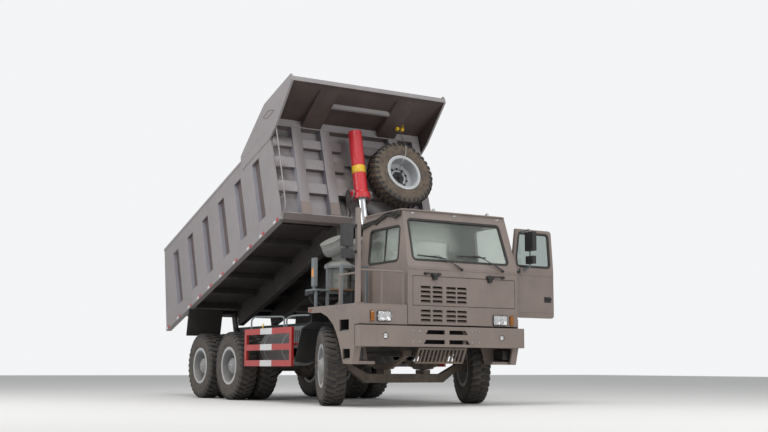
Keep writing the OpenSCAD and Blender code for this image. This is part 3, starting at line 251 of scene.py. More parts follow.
def paint(name, colour, rough=0.45, dust=0.3, patches=0.12, rust=0.0, coat=0.0, low_dust=0.35):
    """Sprayed paint with cloudy patches, dust on what faces up and near the ground, and rust flecks"""
    n = Finish(name)
    patch = n.ramp(n.noise(1.7, 5, 0.6), 0.32, 0.68)
    base = n.mix(patch, shade(colour, 1 - patches), shade(colour, 1 + patches))
    streaks = n.ramp(n.noise(3, 5, 0.6, (5, 5, 0.35)), 0.52, 0.75)
    base = n.mix(n.times(streaks, 0.22 * (0.4 + dust)), base, shade(colour, 0.55))
    up = n.ramp(n.upward("Normal"), 0.35, 1)
    low = n.ramp(n.upward("Object"), 1.5, 0.3)
    cloud = n.ramp(n.noise(6, 8, 0.65), 0.34, 0.66)
    cover = n.times(n.plus(n.times(up, dust), n.times(low, low_dust)), n.ramp(cloud, 0, 1, 0.25, 1))
    base = n.mix(cover, base, DUST)
    if rust:
        base = n.mix(n.times(n.ramp(n.noise(14, 10, 0.75), 0.63, 0.7), rust), base, RUST)
    wear = n.ramp(n.plus(n.noise(9, 6, 0.7), n.times(cover, 0.5)), 0.2, 1.1, rough - 0.1, rough + 0.28)
    waves = n.bump(n.noise(5, 3, 0.5), 0.12, 0.004)
    return n.done({"Base Color": base, "Roughness": wear, "Coat Weight": coat, "Coat Roughness": 0.12,
                   "Normal": n.bump(n.noise(260, 2, 0.5), 0.1, 0.0008, Normal=waves)})


def rubber(name, colour, dusty, mud=MUD):
    """Tyre rubber, with dried mud caught in its roughness"""
    n = Finish(name)
    cloud = n.ramp(n.noise(7, 9, 0.7), 0.36, 0.66)
    fine = n.ramp(n.noise(60, 5, 0.7), 0.4, 0.65)
    cover = n.times(n.plus(n.times(cloud, 0.7), n.times(fine, 0.3)), dusty)
    return n.done({"Base Color": n.mix(cover, colour, mud), "Roughness": n.ramp(cover, 0, 1, 0.62, 0.95),
                   "Normal": n.bump(n.noise(220, 3, 0.7), 0.25, 0.001)})


def metal(name, colour, rough, scratches, grime):
    n = Finish(name)
    dirt = n.times(n.ramp(n.noise(5, 8, 0.7), 0.48, 0.72), grime)
    return n.done({"Base Color": n.mix(dirt, colour, shade(colour, 0.35)), "Metallic": 1,
                   "Roughness": n.ramp(n.noise(40, 4, 0.6), 0.3, 0.7, rough, rough + scratches)})


def glass(name, tint, clear=None):
    """Glass with a film of dust; clear is the least and most that passes through it"""
    n = Finish(name)
    passed = n.ramp(n.noise(1.1, 3, 0.5), 0.42, 0.6, *clear) if clear else 1
    return n.done({"Base Color": tint, "Transmission Weight": passed, "IOR": 1.45, "Coat Weight": 0.35,
                   "Roughness": n.ramp(n.noise(4, 6, 0.6), 0.4, 0.8, 0.01, 0.11)})


def lens(name, colour):
    return Finish(name).done({"Base Color": colour, "Transmission Weight": 0.75, "Roughness": 0.08, "IOR": 1.5})


def retro(name, colour):
    """Reflective tape with its fine honeycomb"""
    n = Finish(name)
    cells = n.node("TexVoronoi", "Distance", {"Scale": 180, "Vector": n.coords.outputs["Object"]})
    base = n.mix(n.ramp(cells, 0, 0.6), shade(colour, 1.1), shade(colour, 0.8))
    dirt = n.ramp(n.noise(11, 7, 0.7), 0.5, 0.75, 0, 0.4)
    return n.done({"Base Color": n.mix(dirt, base, TAPE_DIRT), "Roughness": 0.35})


BROWN = (0.212, 0.168, 0.147)
MATS = {
    "brown": paint("brown_paint", BROWN, 0.42, 0.32, 0.1, coat=0.15),
    "bed_brown": paint("bed_paint", (0.262, 0.24, 0.242), 0.5, 0.22, 0.06, coat=0.08, low_dust=0.1),
    # painted shade on the front wall's top and bottom beams and on faces that look down
    "bed_shade": paint("bed_beam_painted_shade", (0.15, 0.122, 0.116), 0.55, 0.2, 0.1, low_dust=0.0),
    "bed_inside": paint("bed_inside", (0.2, 0.175, 0.16), 0.55, 0.5, 0.2, rust=0.6, low_dust=0.0),
    # painted shade in the backs and tops of the bed sides' slots
    "slot_brown": paint("slot_back_painted_shade", (0.115, 0.088, 0.086), 0.6, 0.2, 0.2, low_dust=0.0),
    # painted bluish half-shade on the flanks of the slots and of the front wall's ribs
    "slot_blue": paint("recess_flank_painted_half_shade", (0.185, 0.178, 0.205), 0.55, 0.1, 0.1, low_dust=0.0),
    "bed_dark": paint("bed_underside", (0.04, 0.034, 0.032), 0.62, 0.12, 0.25, rust=0.25, low_dust=0.1),
    # painted shade under the canopy, on its ribs and on the side plates' inner faces
    "canopy_dark": paint("canopy_underside_painted_shade", (0.062, 0.044, 0.041), 0.6, 0.1, 0.2, low_dust=0.0),
    # near-black painted shade for the hollows behind gaps
    "dark": paint("hollow_painted_shade", (0.008, 0.008, 0.009), 0.9, 0.1, 0.2, low_dust=0.0),
    "black": paint("chassis_black", (0.021, 0.021, 0.022), 0.5, 0.3, 0.25, rust=0.35, low_dust=0.45),
    "axle_brown": paint("axle_brown", (0.105, 0.083, 0.07), 0.55, 0.45, 0.25, rust=0.35, low_dust=0.6),
    "red": paint("guard_red", (0.4, 0.018, 0.016), 0.3, 0.18, 0.08, coat=0.5, low_dust=0.12),
    "hoist_red": paint("hoist_red", (0.55, 0.022, 0.03), 0.28, 0.1, 0.06, coat=0.6),
    "white": paint("white_band", (0.62, 0.62, 0.62), 0.35, 0.2, 0.05, low_dust=0.12),
    "rim_edge": paint("rim_flange", (0.5, 0.51, 0.52), 0.35, 0.12, 0.08, rust=0.15, low_dust=0.3),
    "tank": paint("tank_paint", (0.085, 0.085, 0.09), 0.5, 0.4, 0.15, rust=0.1),
    "orange_plate": paint("blank_plate", (0.66, 0.27, 0.07), 0.45, 0.15, 0.08, low_dust=0.0),
    "yellow": paint("yellow_band", (0.74, 0.47, 0.03), 0.35, 0.1, 0.05),
    "grey": paint("cleaner_grey", (0.215, 0.222, 0.21), 0.5, 0.3, 0.1),
    "rust_edge": paint("shelf_edge", (0.26, 0.135, 0.065), 0.6, 0.3, 0.2, low_dust=0.0),
    "post_grey": paint("post_grey", (0.165, 0.185, 0.195), 0.42, 0.2, 0.1),
    "rim": paint("rim_silver", (0.3, 0.31, 0.32), 0.4, 0.25, 0.12, rust=0.2, low_dust=0.35),
    "spare_rim": paint("spare_rim_silver", (0.42, 0.43, 0.44), 0.38, 0.1, 0.08),
    "rubber_side": rubber("tyre_side", (0.03, 0.028, 0.027), 0.62),
    "rubber_tread": rubber("tyre_tread", (0.017, 0.017, 0.018), 0.16),
    "spare_rubber": rubber("spare_side", (0.04, 0.034, 0.03), 0.95, PALE_MUD),
    "seal": rubber("window_seal", (0.015, 0.015, 0.015), 0.15),
    "plastic": paint("black_plastic", (0.02, 0.02, 0.021), 0.45, 0.15, 0.1, low_dust=0.1),
    "chrome": metal("hoist_chrome", (0.8, 0.8, 0.82), 0.07, 0.06, grime=0.05),
    "bright": metal("bright_metal", (0.75, 0.75, 0.77), 0.15, 0.1, grime=0.1),
    "steel": metal("bare_steel", (0.42, 0.41, 0.4), 0.32, 0.25, grime=0.5),
    "screen": glass("windscreen_glass", (0.72, 0.78, 0.72), clear=(0.74, 0.92)),
    "side_glass": glass("side_glass", (0.6, 0.68, 0.64)),
    "clear": lens("clear_lens", (0.95, 0.95, 0.95)),
    "amber": lens("amber_lens", (0.85, 0.32, 0.04)),
    "orange": lens("marker_orange", (0.75, 0.16, 0.05)),
    "tape_red": retro("tape_red", (0.5, 0.02, 0.02)),
    "tape_white": retro("tape_white", (0.66, 0.67, 0.7)),
    "mirror": metal("mirror_face", (0.85, 0.87, 0.88), 0.02, 0.01, grime=0.05),
    "trim": paint("cab_trim", (0.035, 0.035, 0.038), 0.65, 0.1, 0.1, low_dust=0.0),
    "fabric": paint("seat_fabric", (0.05, 0.05, 0.06), 0.9, 0.05, 0.2, low_dust=0.0),
}

# Making pieces

BOX_FACES = [(0, 1, 3, 2), (4, 6, 7, 5), (0, 4, 5, 1), (2, 3, 7, 6), (0, 2, 6, 4), (1, 5, 7, 3)]


def circle(radius, count, start=0.0):
    """Points on a circle; start is in parts of the step between two of them"""
    angles = (2 * pi * (k + start) / count for k in range(count))
    return [(radius * cos(a), radius * sin(a)) for a in angles]


def quads(rows, cols, wrap_rows=False, wrap_cols=True):
    """Faces between rows of points; a wrap joins the last to the first"""
    faces = []
    for i in range(rows - 1 + wrap_rows):
        a, b = i * cols, (i + 1) % rows * cols
        faces += [(a + k, a + (k + 1) % cols, b + (k + 1) % cols, b + k) for k in range(cols - 1 + wrap_cols)]
    return faces


def pairs(*mm):
    """Points of two numbers each, from millimetres"""
    return [tuple(v / 1000 for v in mm[i:i + 2]) for i in range(0, len(mm), 2)]


def triples(*mm):
    """Points of three numbers each, from millimetres"""
    return [tuple(v / 1000 for v in mm[i:i + 3]) for i in range(0, len(mm), 3)]


class Shape:
    """Gathers solids into one mesh, drawn in a frame given by its matrix"""

    def __init__(self, matrix=TRUCK):
        self.bm = bmesh.new()
        self.matrix = matrix

    def add(self, points, faces, place=None):
        matrix = self.matrix @ place if place else self.matrix
        verts = [self.bm.verts.new(matrix @ Vector(p)) for p in points]
        for f in faces:
            self.bm.faces.new([verts[i] for i in f])

    def box(self, x0, y0, z0, x1, y1, z1, place=None):
        self.add([(x, y, z) for x in (x0, x1) for y in (y0, y1) for z in (z0, z1)], BOX_FACES, place)

    def boxes(self, *ends):
        for six in ends:
            self.box(*six)

    def prism(self, outline, low, high, lift):
        """An outline of (u, v), raised from low to high by lift(u, v, w)"""
        n = len(outline)
        caps = [tuple(range(n - 1, -1, -1)), tuple(range(n, 2 * n))]
        self.add([lift(u, v, w) for w in (low, high) for u, v in outline], caps + quads(2, n))

    def lathe(self, profile, steps=48, place=None, closed=True):
        """A profile of (radius, height), turned about Z"""
        faces = quads(steps, len(profile), True, closed)
        self.add([(r * c, r * s, h) for c, s in circle(1, steps) for r, h in profile],
                 [(a, d, c, b) for a, b, c, d in faces], place)

    def tube(self, path, radius, sides=10, closed=False):
        """A round tube along a path"""
        path = [Vector(p) for p in path]
        count = len(path)
        points, normal = [], None
        for i, p in enumerate(path):
            before = path[i - 1] if (i or closed) else p
            after = path[(i + 1) % count] if (i < count - 1 or closed) else p
            along = (after - before).normalized()
            if normal is None:
                side = Vector((0, 0, 1)) if abs(along.z) < 0.9 else Vector((1, 0, 0))
                normal = along.cross(side).normalized()
            normal = (normal - along * normal.dot(along)).normalized()
            other = along.cross(normal)
            r = radius(i / max(1, count - 1)) if callable(radius) else radius
            points += [p + r * (c * normal + s * other) for c, s in circle(1, sides)]
        faces = quads(count, sides, closed)
        if not closed:
            faces += [tuple(range(sides - 1, -1, -1)), tuple(range((count - 1) * sides, count * sides))]
        self.add(points, faces)

    def cylinder(self, a, b, radius, sides=20):
        self.tube([a, b], radius, sides)

    def bar(self, a, b, wide, high, up=(0, 0, 1)):
        """A flat bar from a to b, wide across up and high along it"""
        a, b, up = Vector(a), Vector(b), Vector(up)
        along = (b - a).normalized()
        side = along.cross(up).normalized() * wide / 2
        rise = side.cross(along).normalized() * high / 2
        self.add([p + s * side + r * rise for p in (a, b) for s in (-1, 1) for r in (-1, 1)], BOX_FACES)

    def ring(self, loop, profile, lift):
        """A closed profile of (grow, height), swept round loop(grow), a closed outline of (u, v)"""
        rows = [[lift(u, v, w) for u, v in loop(g)] for g, w in profile]
        self.add([p for row in rows for p in row], quads(len(rows), len(rows[0]), True))

    def bolt(self, at, axis, size=0.014, height=0.012):
        """A hexagon head on a washer"""
        at, axis = Vector(at), Vector(axis).normalized()
        self.cylinder(at, at + axis * height * 0.3, size * 1.25, 14)
        self.cylinder(at, at + axis * height, size, 6)

    def done(self, name, mat, body="root", **finish):
        bmesh.ops.recalc_face_normals(self.bm, faces=self.bm.faces)
        return piece(name, self.bm, mat, body, **finish)


def piece(name, bm, mat, body="root", bevel=0, smooth=35, segments=2, slot=None, replaces=None):
    mesh = bpy.data.meshes.new(name)
    bm.to_mesh(mesh)
    bm.free()
    obj = link(name, mesh)
    mats = mat.split()
    for key in mats:
        mesh.materials.append(MATS[key])
    mesh.polygons.foreach_set("use_smooth", [True] * len(mesh.polygons))
    mesh.set_sharp_from_angle(angle=radians(smooth))
    if bevel:
        modifier = obj.modifiers.new("rounded_edges", "BEVEL")
        modifier.width = bevel
        modifier.segments = segments
        modifier.limit_method = "ANGLE"
        modifier.angle_limit = radians(32)
        modifier.harden_normals = True
    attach(obj, body)
    if replaces:
        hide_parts(replaces)
    return obj


def rounded(node, mat, width, body="root", choose=None, matrix=TRUCK):
    """A CAD node's own shape with its edges rounded over, in the node's place.
    choose(centre, normal), in the frame given by matrix, picks each face's material."""
    bm = bmesh.new()
    bm.from_mesh(NODES[node].data)
    bmesh.ops.remove_doubles(bm, verts=bm.verts, dist=2e-5)
    bmesh.ops.dissolve_limit(bm, angle_limit=radians(0.6), verts=bm.verts, edges=bm.edges)
    bm.normal_update()
    if choose:
        back = matrix.inverted()
        for face in bm.faces:
            face.material_index = choose(back @ face.calc_center_median(), back.to_3x3() @ face.normal)
    piece(node + "_shape", bm, mat, body, bevel=width, replaces=node)


def arc(cx, cy, r, a0, a1, n):
    angles = (radians(a0 + (a1 - a0) * i / n) for i in range(n + 1))
    return [(cx + r * cos(a), cy + r * sin(a)) for a in angles]


def hull_loop(centres, radius, n=5):
    """Outline round circles at a convex polygon's corners, anticlockwise, as a function of how far it is grown"""
    turns = [degrees(atan2(u0 - u1, v1 - v0)) for (u0, v0), (u1, v1) in zip(centres, centres[1:] + centres[:1])]

    def loop(grow):
        points = []
        for i, (u, v) in enumerate(centres):
            a0, a1 = turns[i - 1], turns[i]
            points += arc(u, v, radius + grow, a0, a1 + 360 * (a1 < a0), n)
        return points
    return loop


def box_loop(u0, u1, v0, v1, radius):
    """The outline of a rectangle of circle centres"""
    return hull_loop([(u0, v0), (u1, v0), (u1, v1), (u0, v1)], radius)


make_camera()
make_lights()
make_floor()

# Tyres

TREAD_LOW = TYRE_R - 0.03
# Half of the carcass: radius and distance from the tyre's middle
SIDE_PROFILE = [(RIM_R + r, w) for r, w in (
    (0.001, 0.142), (0.05, 0.155), (0.062, 0.17), (0.078, 0.176), (0.086, 0.1745), (0.12, 0.1835), (0.126, 0.1865),
    (0.134, 0.1865), (0.14, 0.184), (0.19, 0.1872))]
SIDE_PROFILE += [(0.545, 0.1855), (0.575, 0.179), (0.607, 0.17), (TREAD_LOW, 0.15), (TREAD_LOW + 0.004, 0.09),
                 (TREAD_LOW + 0.005, 0.0)]
# Half of a lug: distance from the middle, turn in pitches, half width in pitches, radius, depth
LUG = [(0.012, 0.02, 0.27, TYRE_R, 0.045), (0.07, 0.1, 0.3, TYRE_R, 0.045), (0.128, 0.3, 0.33, TYRE_R - 0.002, 0.045),
       (0.16, 0.42, 0.35, TYRE_R - 0.01, 0.045), (0.178, 0.5, 0.33, TYRE_R - 0.045, 0.035),
       (0.186, 0.54, 0.28, 0.59, 0.02)]
LUG_COUNT, LUG_SPREAD, LUG_FLARE, LUG_TUCK = 34, 0.71, 1.18, 0.004


def tyre_mesh(name, matrix, body, side_mat="rubber_side", node=None):
    """A cross-ply rock tyre: carcass with rings on its sides, and two rows of lugs that reach round the shoulders"""
    carcass = Shape(matrix)
    carcass.lathe(SIDE_PROFILE + [(r, -w) for r, w in SIDE_PROFILE[-2::-1]], 96)
    carcass.done(name + "_carcass", side_mat, body, smooth=50, replaces=node)
    tread = Shape(matrix)
    pitch, last = 2 * pi / LUG_COUNT, 4 * len(LUG) - 4
    faces = [f for a in range(0, last, 4) for f in ((a, a + 1, a + 5, a + 4), (a + 1, a + 3, a + 7, a + 5),
        (a + 2, a, a + 4, a + 6))]
    faces += [(0, 2, 3, 1), (last, last + 1, last + 3, last + 2)]
    for side, _ in SIDES:
        for k in range(LUG_COUNT):
            points = []
            for w, turn, wide, r, deep in LUG:
                foot = w - LUG_TUCK * (w > 0.15)
                for radius, grow, out in ((r, 1, w), (r - deep, LUG_FLARE, foot)):
                    for e in (-1, 1):
                        a = (k + 0.5 * (side > 0) + turn + e * wide * grow * LUG_SPREAD) * pitch
                        points.append((radius * cos(a), radius * sin(a), side * out))
            tread.add(points, faces)
    tread.done(name + "_tread", "rubber_tread", body, bevel=0.004, segments=1, smooth=40)


# Where each wheel or twin wheel turns: word in its names, body, frame of its outer wheel, of its inner one
ROWS = (("middle", MIDDLE_X), ("rear", REAR_X))
WHEELS = []
for side, word in SIDES:
    WHEELS.append(("front_" + word, "wheel_front_" + word, steered(side), None))
    WHEELS += [(row + "_" + word, "wheels_%s_%s" % (row, word), axle_place(x, TWIN_OUT, side),
        axle_place(x, TWIN_IN, side)) for row, x in ROWS]
for name, body, outer, inner in WHEELS:
    if inner:
        tyre_mesh(name + "_outer", outer, body, node=name + "_tyres")
        tyre_mesh(name + "_inner", inner, body)
    else:
        tyre_mesh(name + "_tyre", outer, body, node=name + "_tyre")
SPARE_Y, SPARE_Z = 0.875, 0.975
SPARE_X = wall_x(SPARE_Z) + 0.05 + TYRE_W / 2
SPARE = BED @ shift(SPARE_X, SPARE_Y, SPARE_Z) @ spin(90, "Y")
tyre_mesh("spare", SPARE, "bed", "spare_rubber", "spare_tyre")

# Bed

def bed_side_paint(c, n):
    """0 outer paint, 1 the worn inside, 2 the backs and tops of the slots in painted shade and 3 their flanks in a
    painted bluish half-shade
    """
    y = abs(c.y)
    if y < BED_HALF - SIDE_T + 0.002:
        return 1
    if 0.32 < c.z < 1.54 and y < BED_HALF - 0.011 and c.x < -0.3:
        return 2 if y < BED_HALF - 0.07 or n.z < -0.5 else 3
    return 0


def front_wall_paint(c, n):
    """0 outer paint, 1 the worn inside, 2 the beams above and below and the faces that look down, in painted shade,
    and 3 the flanks of the ribs in a painted bluish half-shade
    """
    behind = wall_x(c.z) - c.x
    if n.x < -0.5 and behind > 0.17:
        return 1
    if abs(n.y) > 0.7 and behind > 0.005 and 0.1 < c.z < 1.92 and abs(c.y) < 1.62:
        return 3
    if c.z > 1.92 or c.z < 0.11 or n.z < -0.5:
        return 2
    return 0


def canopy_paint(c, n):
    """0 outer paint, 1 the worn inside and 2 the underside with its ribs and the side plates' inner faces, darkened
    as painted shade
    """
    if 0.635 < c.x < 0.705 and abs(c.y) < 0.66:
        return 0
    under = n.z < -0.3 and abs(c.y) < 1.66 and c.z > 1.9
    rib = abs(c.y) < 1.1 and (abs(n.y) > 0.7 or n.x > 0.3) and c.z < BED_H + 0.19
    inner = 1.6 < abs(c.y) < 1.66 and n.y * c.y < 0
    if under or rib or (inner and c.x > 0):
        return 2
    return 1 if n.x < -0.5 and abs(c.y) < 1.6 else 0


def floor_paint(c, n):
    """0 the worn top and 1 the dark sides and underside"""
    return 1 if n.z < 0.2 else 0


def part_black(c, n):
    """Fittings that stand ahead of the cab's front are black"""
    return 1 if c.x > CAB_FRONT + 0.001 or c.y > CAB_LEFT + 0.001 else 0


for node, mat, width, choose in (
        ("bed_right_side", "bed_brown bed_inside slot_brown slot_blue", 0.004, bed_side_paint),
        ("bed_left_side", "bed_brown bed_inside slot_brown slot_blue", 0.004, bed_side_paint),
        ("bed_front_wall", "bed_brown bed_inside bed_shade slot_blue", 0, front_wall_paint),
        ("bed_canopy", "bed_brown bed_inside canopy_dark", 0.004, canopy_paint),
        ("bed_floor", "bed_inside bed_dark", 0.004, floor_paint)):
    rounded(node, mat, width, "bed", choose, BED)
rounded("cab_shell", "brown plastic", 0.006, choose=part_black)
rounded("front_flap", "brown plastic", 0.004, "flap", part_black)
rounded("driver_door", "brown", 0.004, "door")
rounded("bumper", "brown", 0.008)
rounded("right_fender", "brown", 0.006)
rounded("left_fender", "brown", 0.006)
rounded("side_guards", "red", 0.004)
for name, body, _, inner in WHEELS:
    rounded(name + ("_wheels" if inner else "_wheel"), "rim", 0.003, body)
rounded("spare_wheel", "spare_rim", 0.003, "bed")
rounded("hoist_barrel", "hoist_red", 0.004, "hoist_cylinder")

# Cab: windows, wipers, grilles, lamps

def dish(shape, at, axis, profile, steps=28):
    """A turned form that looks along an axis"""
    turn = Vector(axis).to_track_quat("Z", "Y").to_matrix().to_4x4()
    shape.lathe(profile, steps, shift(*at) @ turn, closed=False)


def along_y(x=0.0):
    """Raises an outline of (x, z) along y, its x measured from the given one"""
    return lambda u, v, w: (x + u, w, v)


def on_front(u, v, w):
    return (CAB_FRONT + w, u, v)


def on_screen(u, v, w):
    """A point over the windscreen or, below the knee, over the front panel: y, z and height over the surface"""
    if v < CAB_KNEE:
        return (CAB_FRONT + w, u, v)
    return (screen_x(v) + SCREEN_OUT * w, u, v + SCREEN_UP * w)


def on_right(u, v, w):
    return (u, side_y(v) - w, v)


def on_left(u, v, w):
    return (u, CAB_LEFT - (side_y(v) + CAB_RIGHT) + w, v)


def on_rear(u, v, w):
    return (-CAB_REAR - w, u, v)


SEAL = pairs(12, -1, 10, 6, -4, 9, -24, 5, -34, -19, -2, -19)
SCREEN = hull_loop(pairs(-525, 2475, 1310, 2475, 1250, 3050, -515, 3050), 0.07)
DOOR_WINDOW = hull_loop(pairs(300, 2490, 940, 2490, 940, 2600, 865, 2970, 300, 2970), 0.07)
seals = Shape()
seals.ring(SCREEN, SEAL, on_screen)
seals.ring(box_loop(0.05, 0.88, 2.48, 2.93, 0.08), SEAL, on_right)
seals.ring(box_loop(-0.22, 1.07, 2.43, 2.87, 0.08), SEAL, on_rear)
seals.bar(on_right(0.5, 2.41, -0.012), on_right(0.5, 3.0, -0.012), 0.016, 0.022, (1, 0, 0))
seals.done("window_seals", "seal", slot="window_glass")
door_seal = Shape(DOOR)
door_seal.ring(DOOR_WINDOW, SEAL, on_left)
door_seal.ring(hull_loop(pairs(240, 1600, 1010, 1600, 1010, 2550, 880, 3040, 240, 3040), 0.045),
    pairs(0, -52, 12, -60, 22, -52), on_left)
door_seal.done("door_seals", "seal", "door", slot="window_glass")

# Wipers: pivot, joint and the blade's ends on the glass
WIPERS = [((0.363, 2.277), (-0.106, 2.477), (-0.502, 2.485), (0.042, 2.448)),
          ((1.222, 2.292), (0.73, 2.523), (0.298, 2.511), (0.91, 2.506))]
UP = Vector((0.96, 0, 0.27))
wipers = Shape()
for pivot, joint, blade_a, blade_b in WIPERS:
    dish(wipers, on_screen(*pivot, 0), UP, pairs(0, 0, 24, 0, 22, 20, 12, 40, 0, 42), steps=16)
    start, end, a, b = (Vector(on_screen(*spot, out)) for spot, out in ((pivot, 0.034), (joint, 0.046),
        (blade_a, 0.016), (blade_b, 0.016)))
    middle, yoke = start.lerp(end, 0.35) + UP * 0.012, a.lerp(b, 0.5) + UP * 0.026
    wipers.bar(start, middle, 0.026, 0.012, UP)
    wipers.bar(middle, end, 0.015, 0.008, UP)
    for lift, wide, high, share in ((-0.008, 0.007, 0.022, 1), (0.008, 0.014, 0.006, 0.96)):
        c, half = (a + b) / 2 + UP * lift, (b - a) / 2 * share
        wipers.bar(c - half, c + half, wide, high, UP)
    for t in (0.22, 0.78):
        wipers.bar(a.lerp(b, t) + UP * 0.01, yoke, 0.012, 0.006, UP)
    wipers.bar(end, yoke, 0.012, 0.008, UP)
wipers.done("wipers", "plastic", bevel=0.0015)

handles = Shape()
for y0, y1 in ((-0.393, -0.078), (0.94, 1.242)):
    for y in (y0 + 0.02, y1 - 0.02):
        handles.box(CAB_FRONT - 0.002, y - 0.022, 2.16, CAB_FRONT + 0.03, y + 0.022, 2.205)
    handles.tube([(CAB_FRONT + 0.03, y0 + (y1 - y0) * t, 2.182 + 0.006 * sin(pi * t))
        for t in (k / 8 for k in range(9))], lambda t: 0.011 + 0.007 * abs(2 * t - 1) ** 2, 10)
handles.done("flap_handles", "plastic", bevel=0.004)

LOUVRE_Y = (-0.458, -0.222, 0.05, 0.27)
for body, low, rows in (("root", 1.385, 3), ("flap", 1.7, 4)):
    vanes = Shape()
    for r in range(rows):
        for y in LOUVRE_Y:
            z = low + 0.076 * r
            vanes.prism([(-0.046, z + 0.026), (-0.05, z + 0.022), (-0.014, z + 0.001), (-0.006, z + 0.001)],
                y + 0.001, y + 0.191, along_y(CAB_FRONT))
    vanes.done("grille_vanes_" + body, "brown", body)
trim = Shape()
trim.prism(pairs(0, 2252, 7, 2256, 7, 2262, 0, 2270), -0.69, 1.52, along_y(CAB_FRONT))
# Gutter and sun shade along the roof's edge
trim.tube(triples(-230, -660, 3275, 950, -660, 3275, 1012, -630, 3272, 1018, 400, 3272, 1012, 1455, 3272,
    950, 1490, 3275, -230, 1490, 3275), 0.013, 8)
trim.done("cab_ridges", "brown", bevel=0.0015)


def fluted(shape, y0, y1, z0, z1, x, thick, flutes, crown=0.006, depth=0.0016):
    """A moulded lens with upright flutes on its inner face"""
    cols, rows = flutes * 4, 8
    points, faces = [], []
    for back in (0, 1):
        for i in range(cols + 1):
            for j in range(rows + 1):
                u, v = i / cols, j / rows
                edge = (1 - (2 * u - 1) ** 6) * (1 - (2 * v - 1) ** 6)
                out = depth * sin(2 * pi * flutes * u) * edge if back else thick + crown * edge
                points.append((x + out, y0 + (y1 - y0) * u, z0 + (z1 - z0) * v))
    step = rows + 1
    n = (cols + 1) * step
    for i in range(cols):
        for a in range(i * step, i * step + rows):
            b = a + step
            faces += [(a, b, b + 1, a + 1), (n + a, n + a + 1, n + b + 1, n + b)]
    border = [i * step for i in range(cols + 1)] + [cols * step + j for j in range(1, step)]
    border += [i * step + rows for i in range(cols - 1, -1, -1)] + list(range(rows - 1, 0, -1))
    faces += [(a, b, n + b, n + a) for a, b in zip(border, border[1:] + border[:1])]
    shape.add(points, faces)


# Lamps: the middle's y and z, width, height
HEAD = [(-1.172, 1.46, 0.262, 0.165), (1.154, 1.444, 0.3, 0.178)]
TURN = [(-1.392, 1.46, 0.072, 0.17), (1.402, 1.444, 0.074, 0.17)]
FOG_Y, FOG_Z, FOG_R = 1.163, 1.144, 0.048
FORWARD = (1, 0, 0)
bowls, bezels, clear, amber = Shape(), Shape(), Shape(), Shape()
for y, z, w, h in HEAD:
    y0, y1, z0, z1 = y - w / 2, y + w / 2, z - h / 2, z + h / 2
    bezels.ring(box_loop(y0 + 0.02, y1 - 0.02, z0 + 0.02, z1 - 0.02, 0.02),
        pairs(0, 0.5, 0, 24, -6, 26, -12, 20, -12, 0.5), on_front)
    bezels.box(CAB_FRONT + 0.0005, y0 + 0.006, z0 + 0.006, CAB_FRONT + 0.004, y1 - 0.006, z1 - 0.006)
    bowl = [((0.018 + t * 0.982) * h * 0.45, 0.001 + 0.017 * t * t) for t in (k / 6 for k in range(7))]
    bowl += [(h * 0.465, 0.0175), (h * 0.465, 0)]
    for y in (y - 0.22 * w, y + 0.25 * w):
        dish(bowls, (CAB_FRONT + 0.004, y, z), FORWARD, bowl)
        dish(bowls, (CAB_FRONT + 0.005, y, z), FORWARD, pairs(0, 15, 8, 13, 10, 4, 10, 0))
    fluted(clear, y0 + 0.01, y1 - 0.01, z0 + 0.01, z1 - 0.01, CAB_FRONT + 0.022, 0.004, 14)
for y, z, w, h in TURN:
    y0, y1, z0, z1 = y - w / 2, y + w / 2, z - h / 2, z + h / 2
    bezels.box(CAB_FRONT + 0.0005, y0, z0, CAB_FRONT + 0.01, y1, z1)
    fluted(amber, y0 + 0.004, y1 - 0.004, z0 + 0.005, z1 - 0.005, CAB_FRONT + 0.011, 0.012, 5)
for side, _ in SIDES:
    at = (BUMPER_X - 0.028, side * FOG_Y, FOG_Z)
    dish(bezels, at, FORWARD, [(0.001, 0), (FOG_R + 0.003, 0), (FOG_R + 0.003, 0.033), (FOG_R - 0.004, 0.033),
        (FOG_R - 0.006, 0.024)])
    dish(bowls, at, FORWARD, [(FOG_R * 0.9 * t, 0.004 + 0.02 * t * t) for t in (k / 6 for k in range(7))])
    dish(clear, at, FORWARD, pairs(0, 33, 20, 32, 36, 29, 43, 26, 43, 24, 36, 26, 20, 29, 0, 30))
for y in (0.094, 1.235):
    dish(bowls, (0.805, y, CAB_TOP + 0.0005), (0, 0, 1), pairs(0, 0, 20, 0, 16, 12, 0, 12))
    at = (0.779, y, CAB_TOP + 0.031)
    dish(bowls, at, FORWARD, pairs(0, 0, 14, 2, 24, 16, 28.5, 46, 28.5, 52, 25, 52, 23, 44, 0, 30))
    dish(clear, at, FORWARD, pairs(0, 56, 14, 55, 24.5, 51, 24.5, 48, 14, 52, 0, 53))
# Marker lamps under the roof's front edge
for y in (-0.466, 0.389, 1.305):
    clear.box(*on_screen(y - 0.03, 3.208, 0.001), *on_screen(y + 0.03, 3.228, 0.022))
bezels.done("lamp_bezels", "plastic", bevel=0.001, replaces="lamps")
bowls.done("lamp_bowls", "bright", smooth=60)
clear.done("lamp_lenses", "clear", smooth=60)
amber.done("turn_lenses", "amber", smooth=60)

bolts = Shape()
for y in (-0.647, -0.517, 0.535, 0.679):
    for z in (1.235, 1.06):
        bolts.bolt((BUMPER_X - 0.001, y, z), FORWARD)
for x, z in [(-0.4 + 0.3 * k, 1.64) for k in range(6)] + [(1.085, z) for z in (1.05, 1.15, 0.72)]:
    bolts.bolt((x, -1.644, z), (0, -1, 0), 0.009, 0.007)
bolts.done("body_bolts", "steel", smooth=25)

# Mirrors

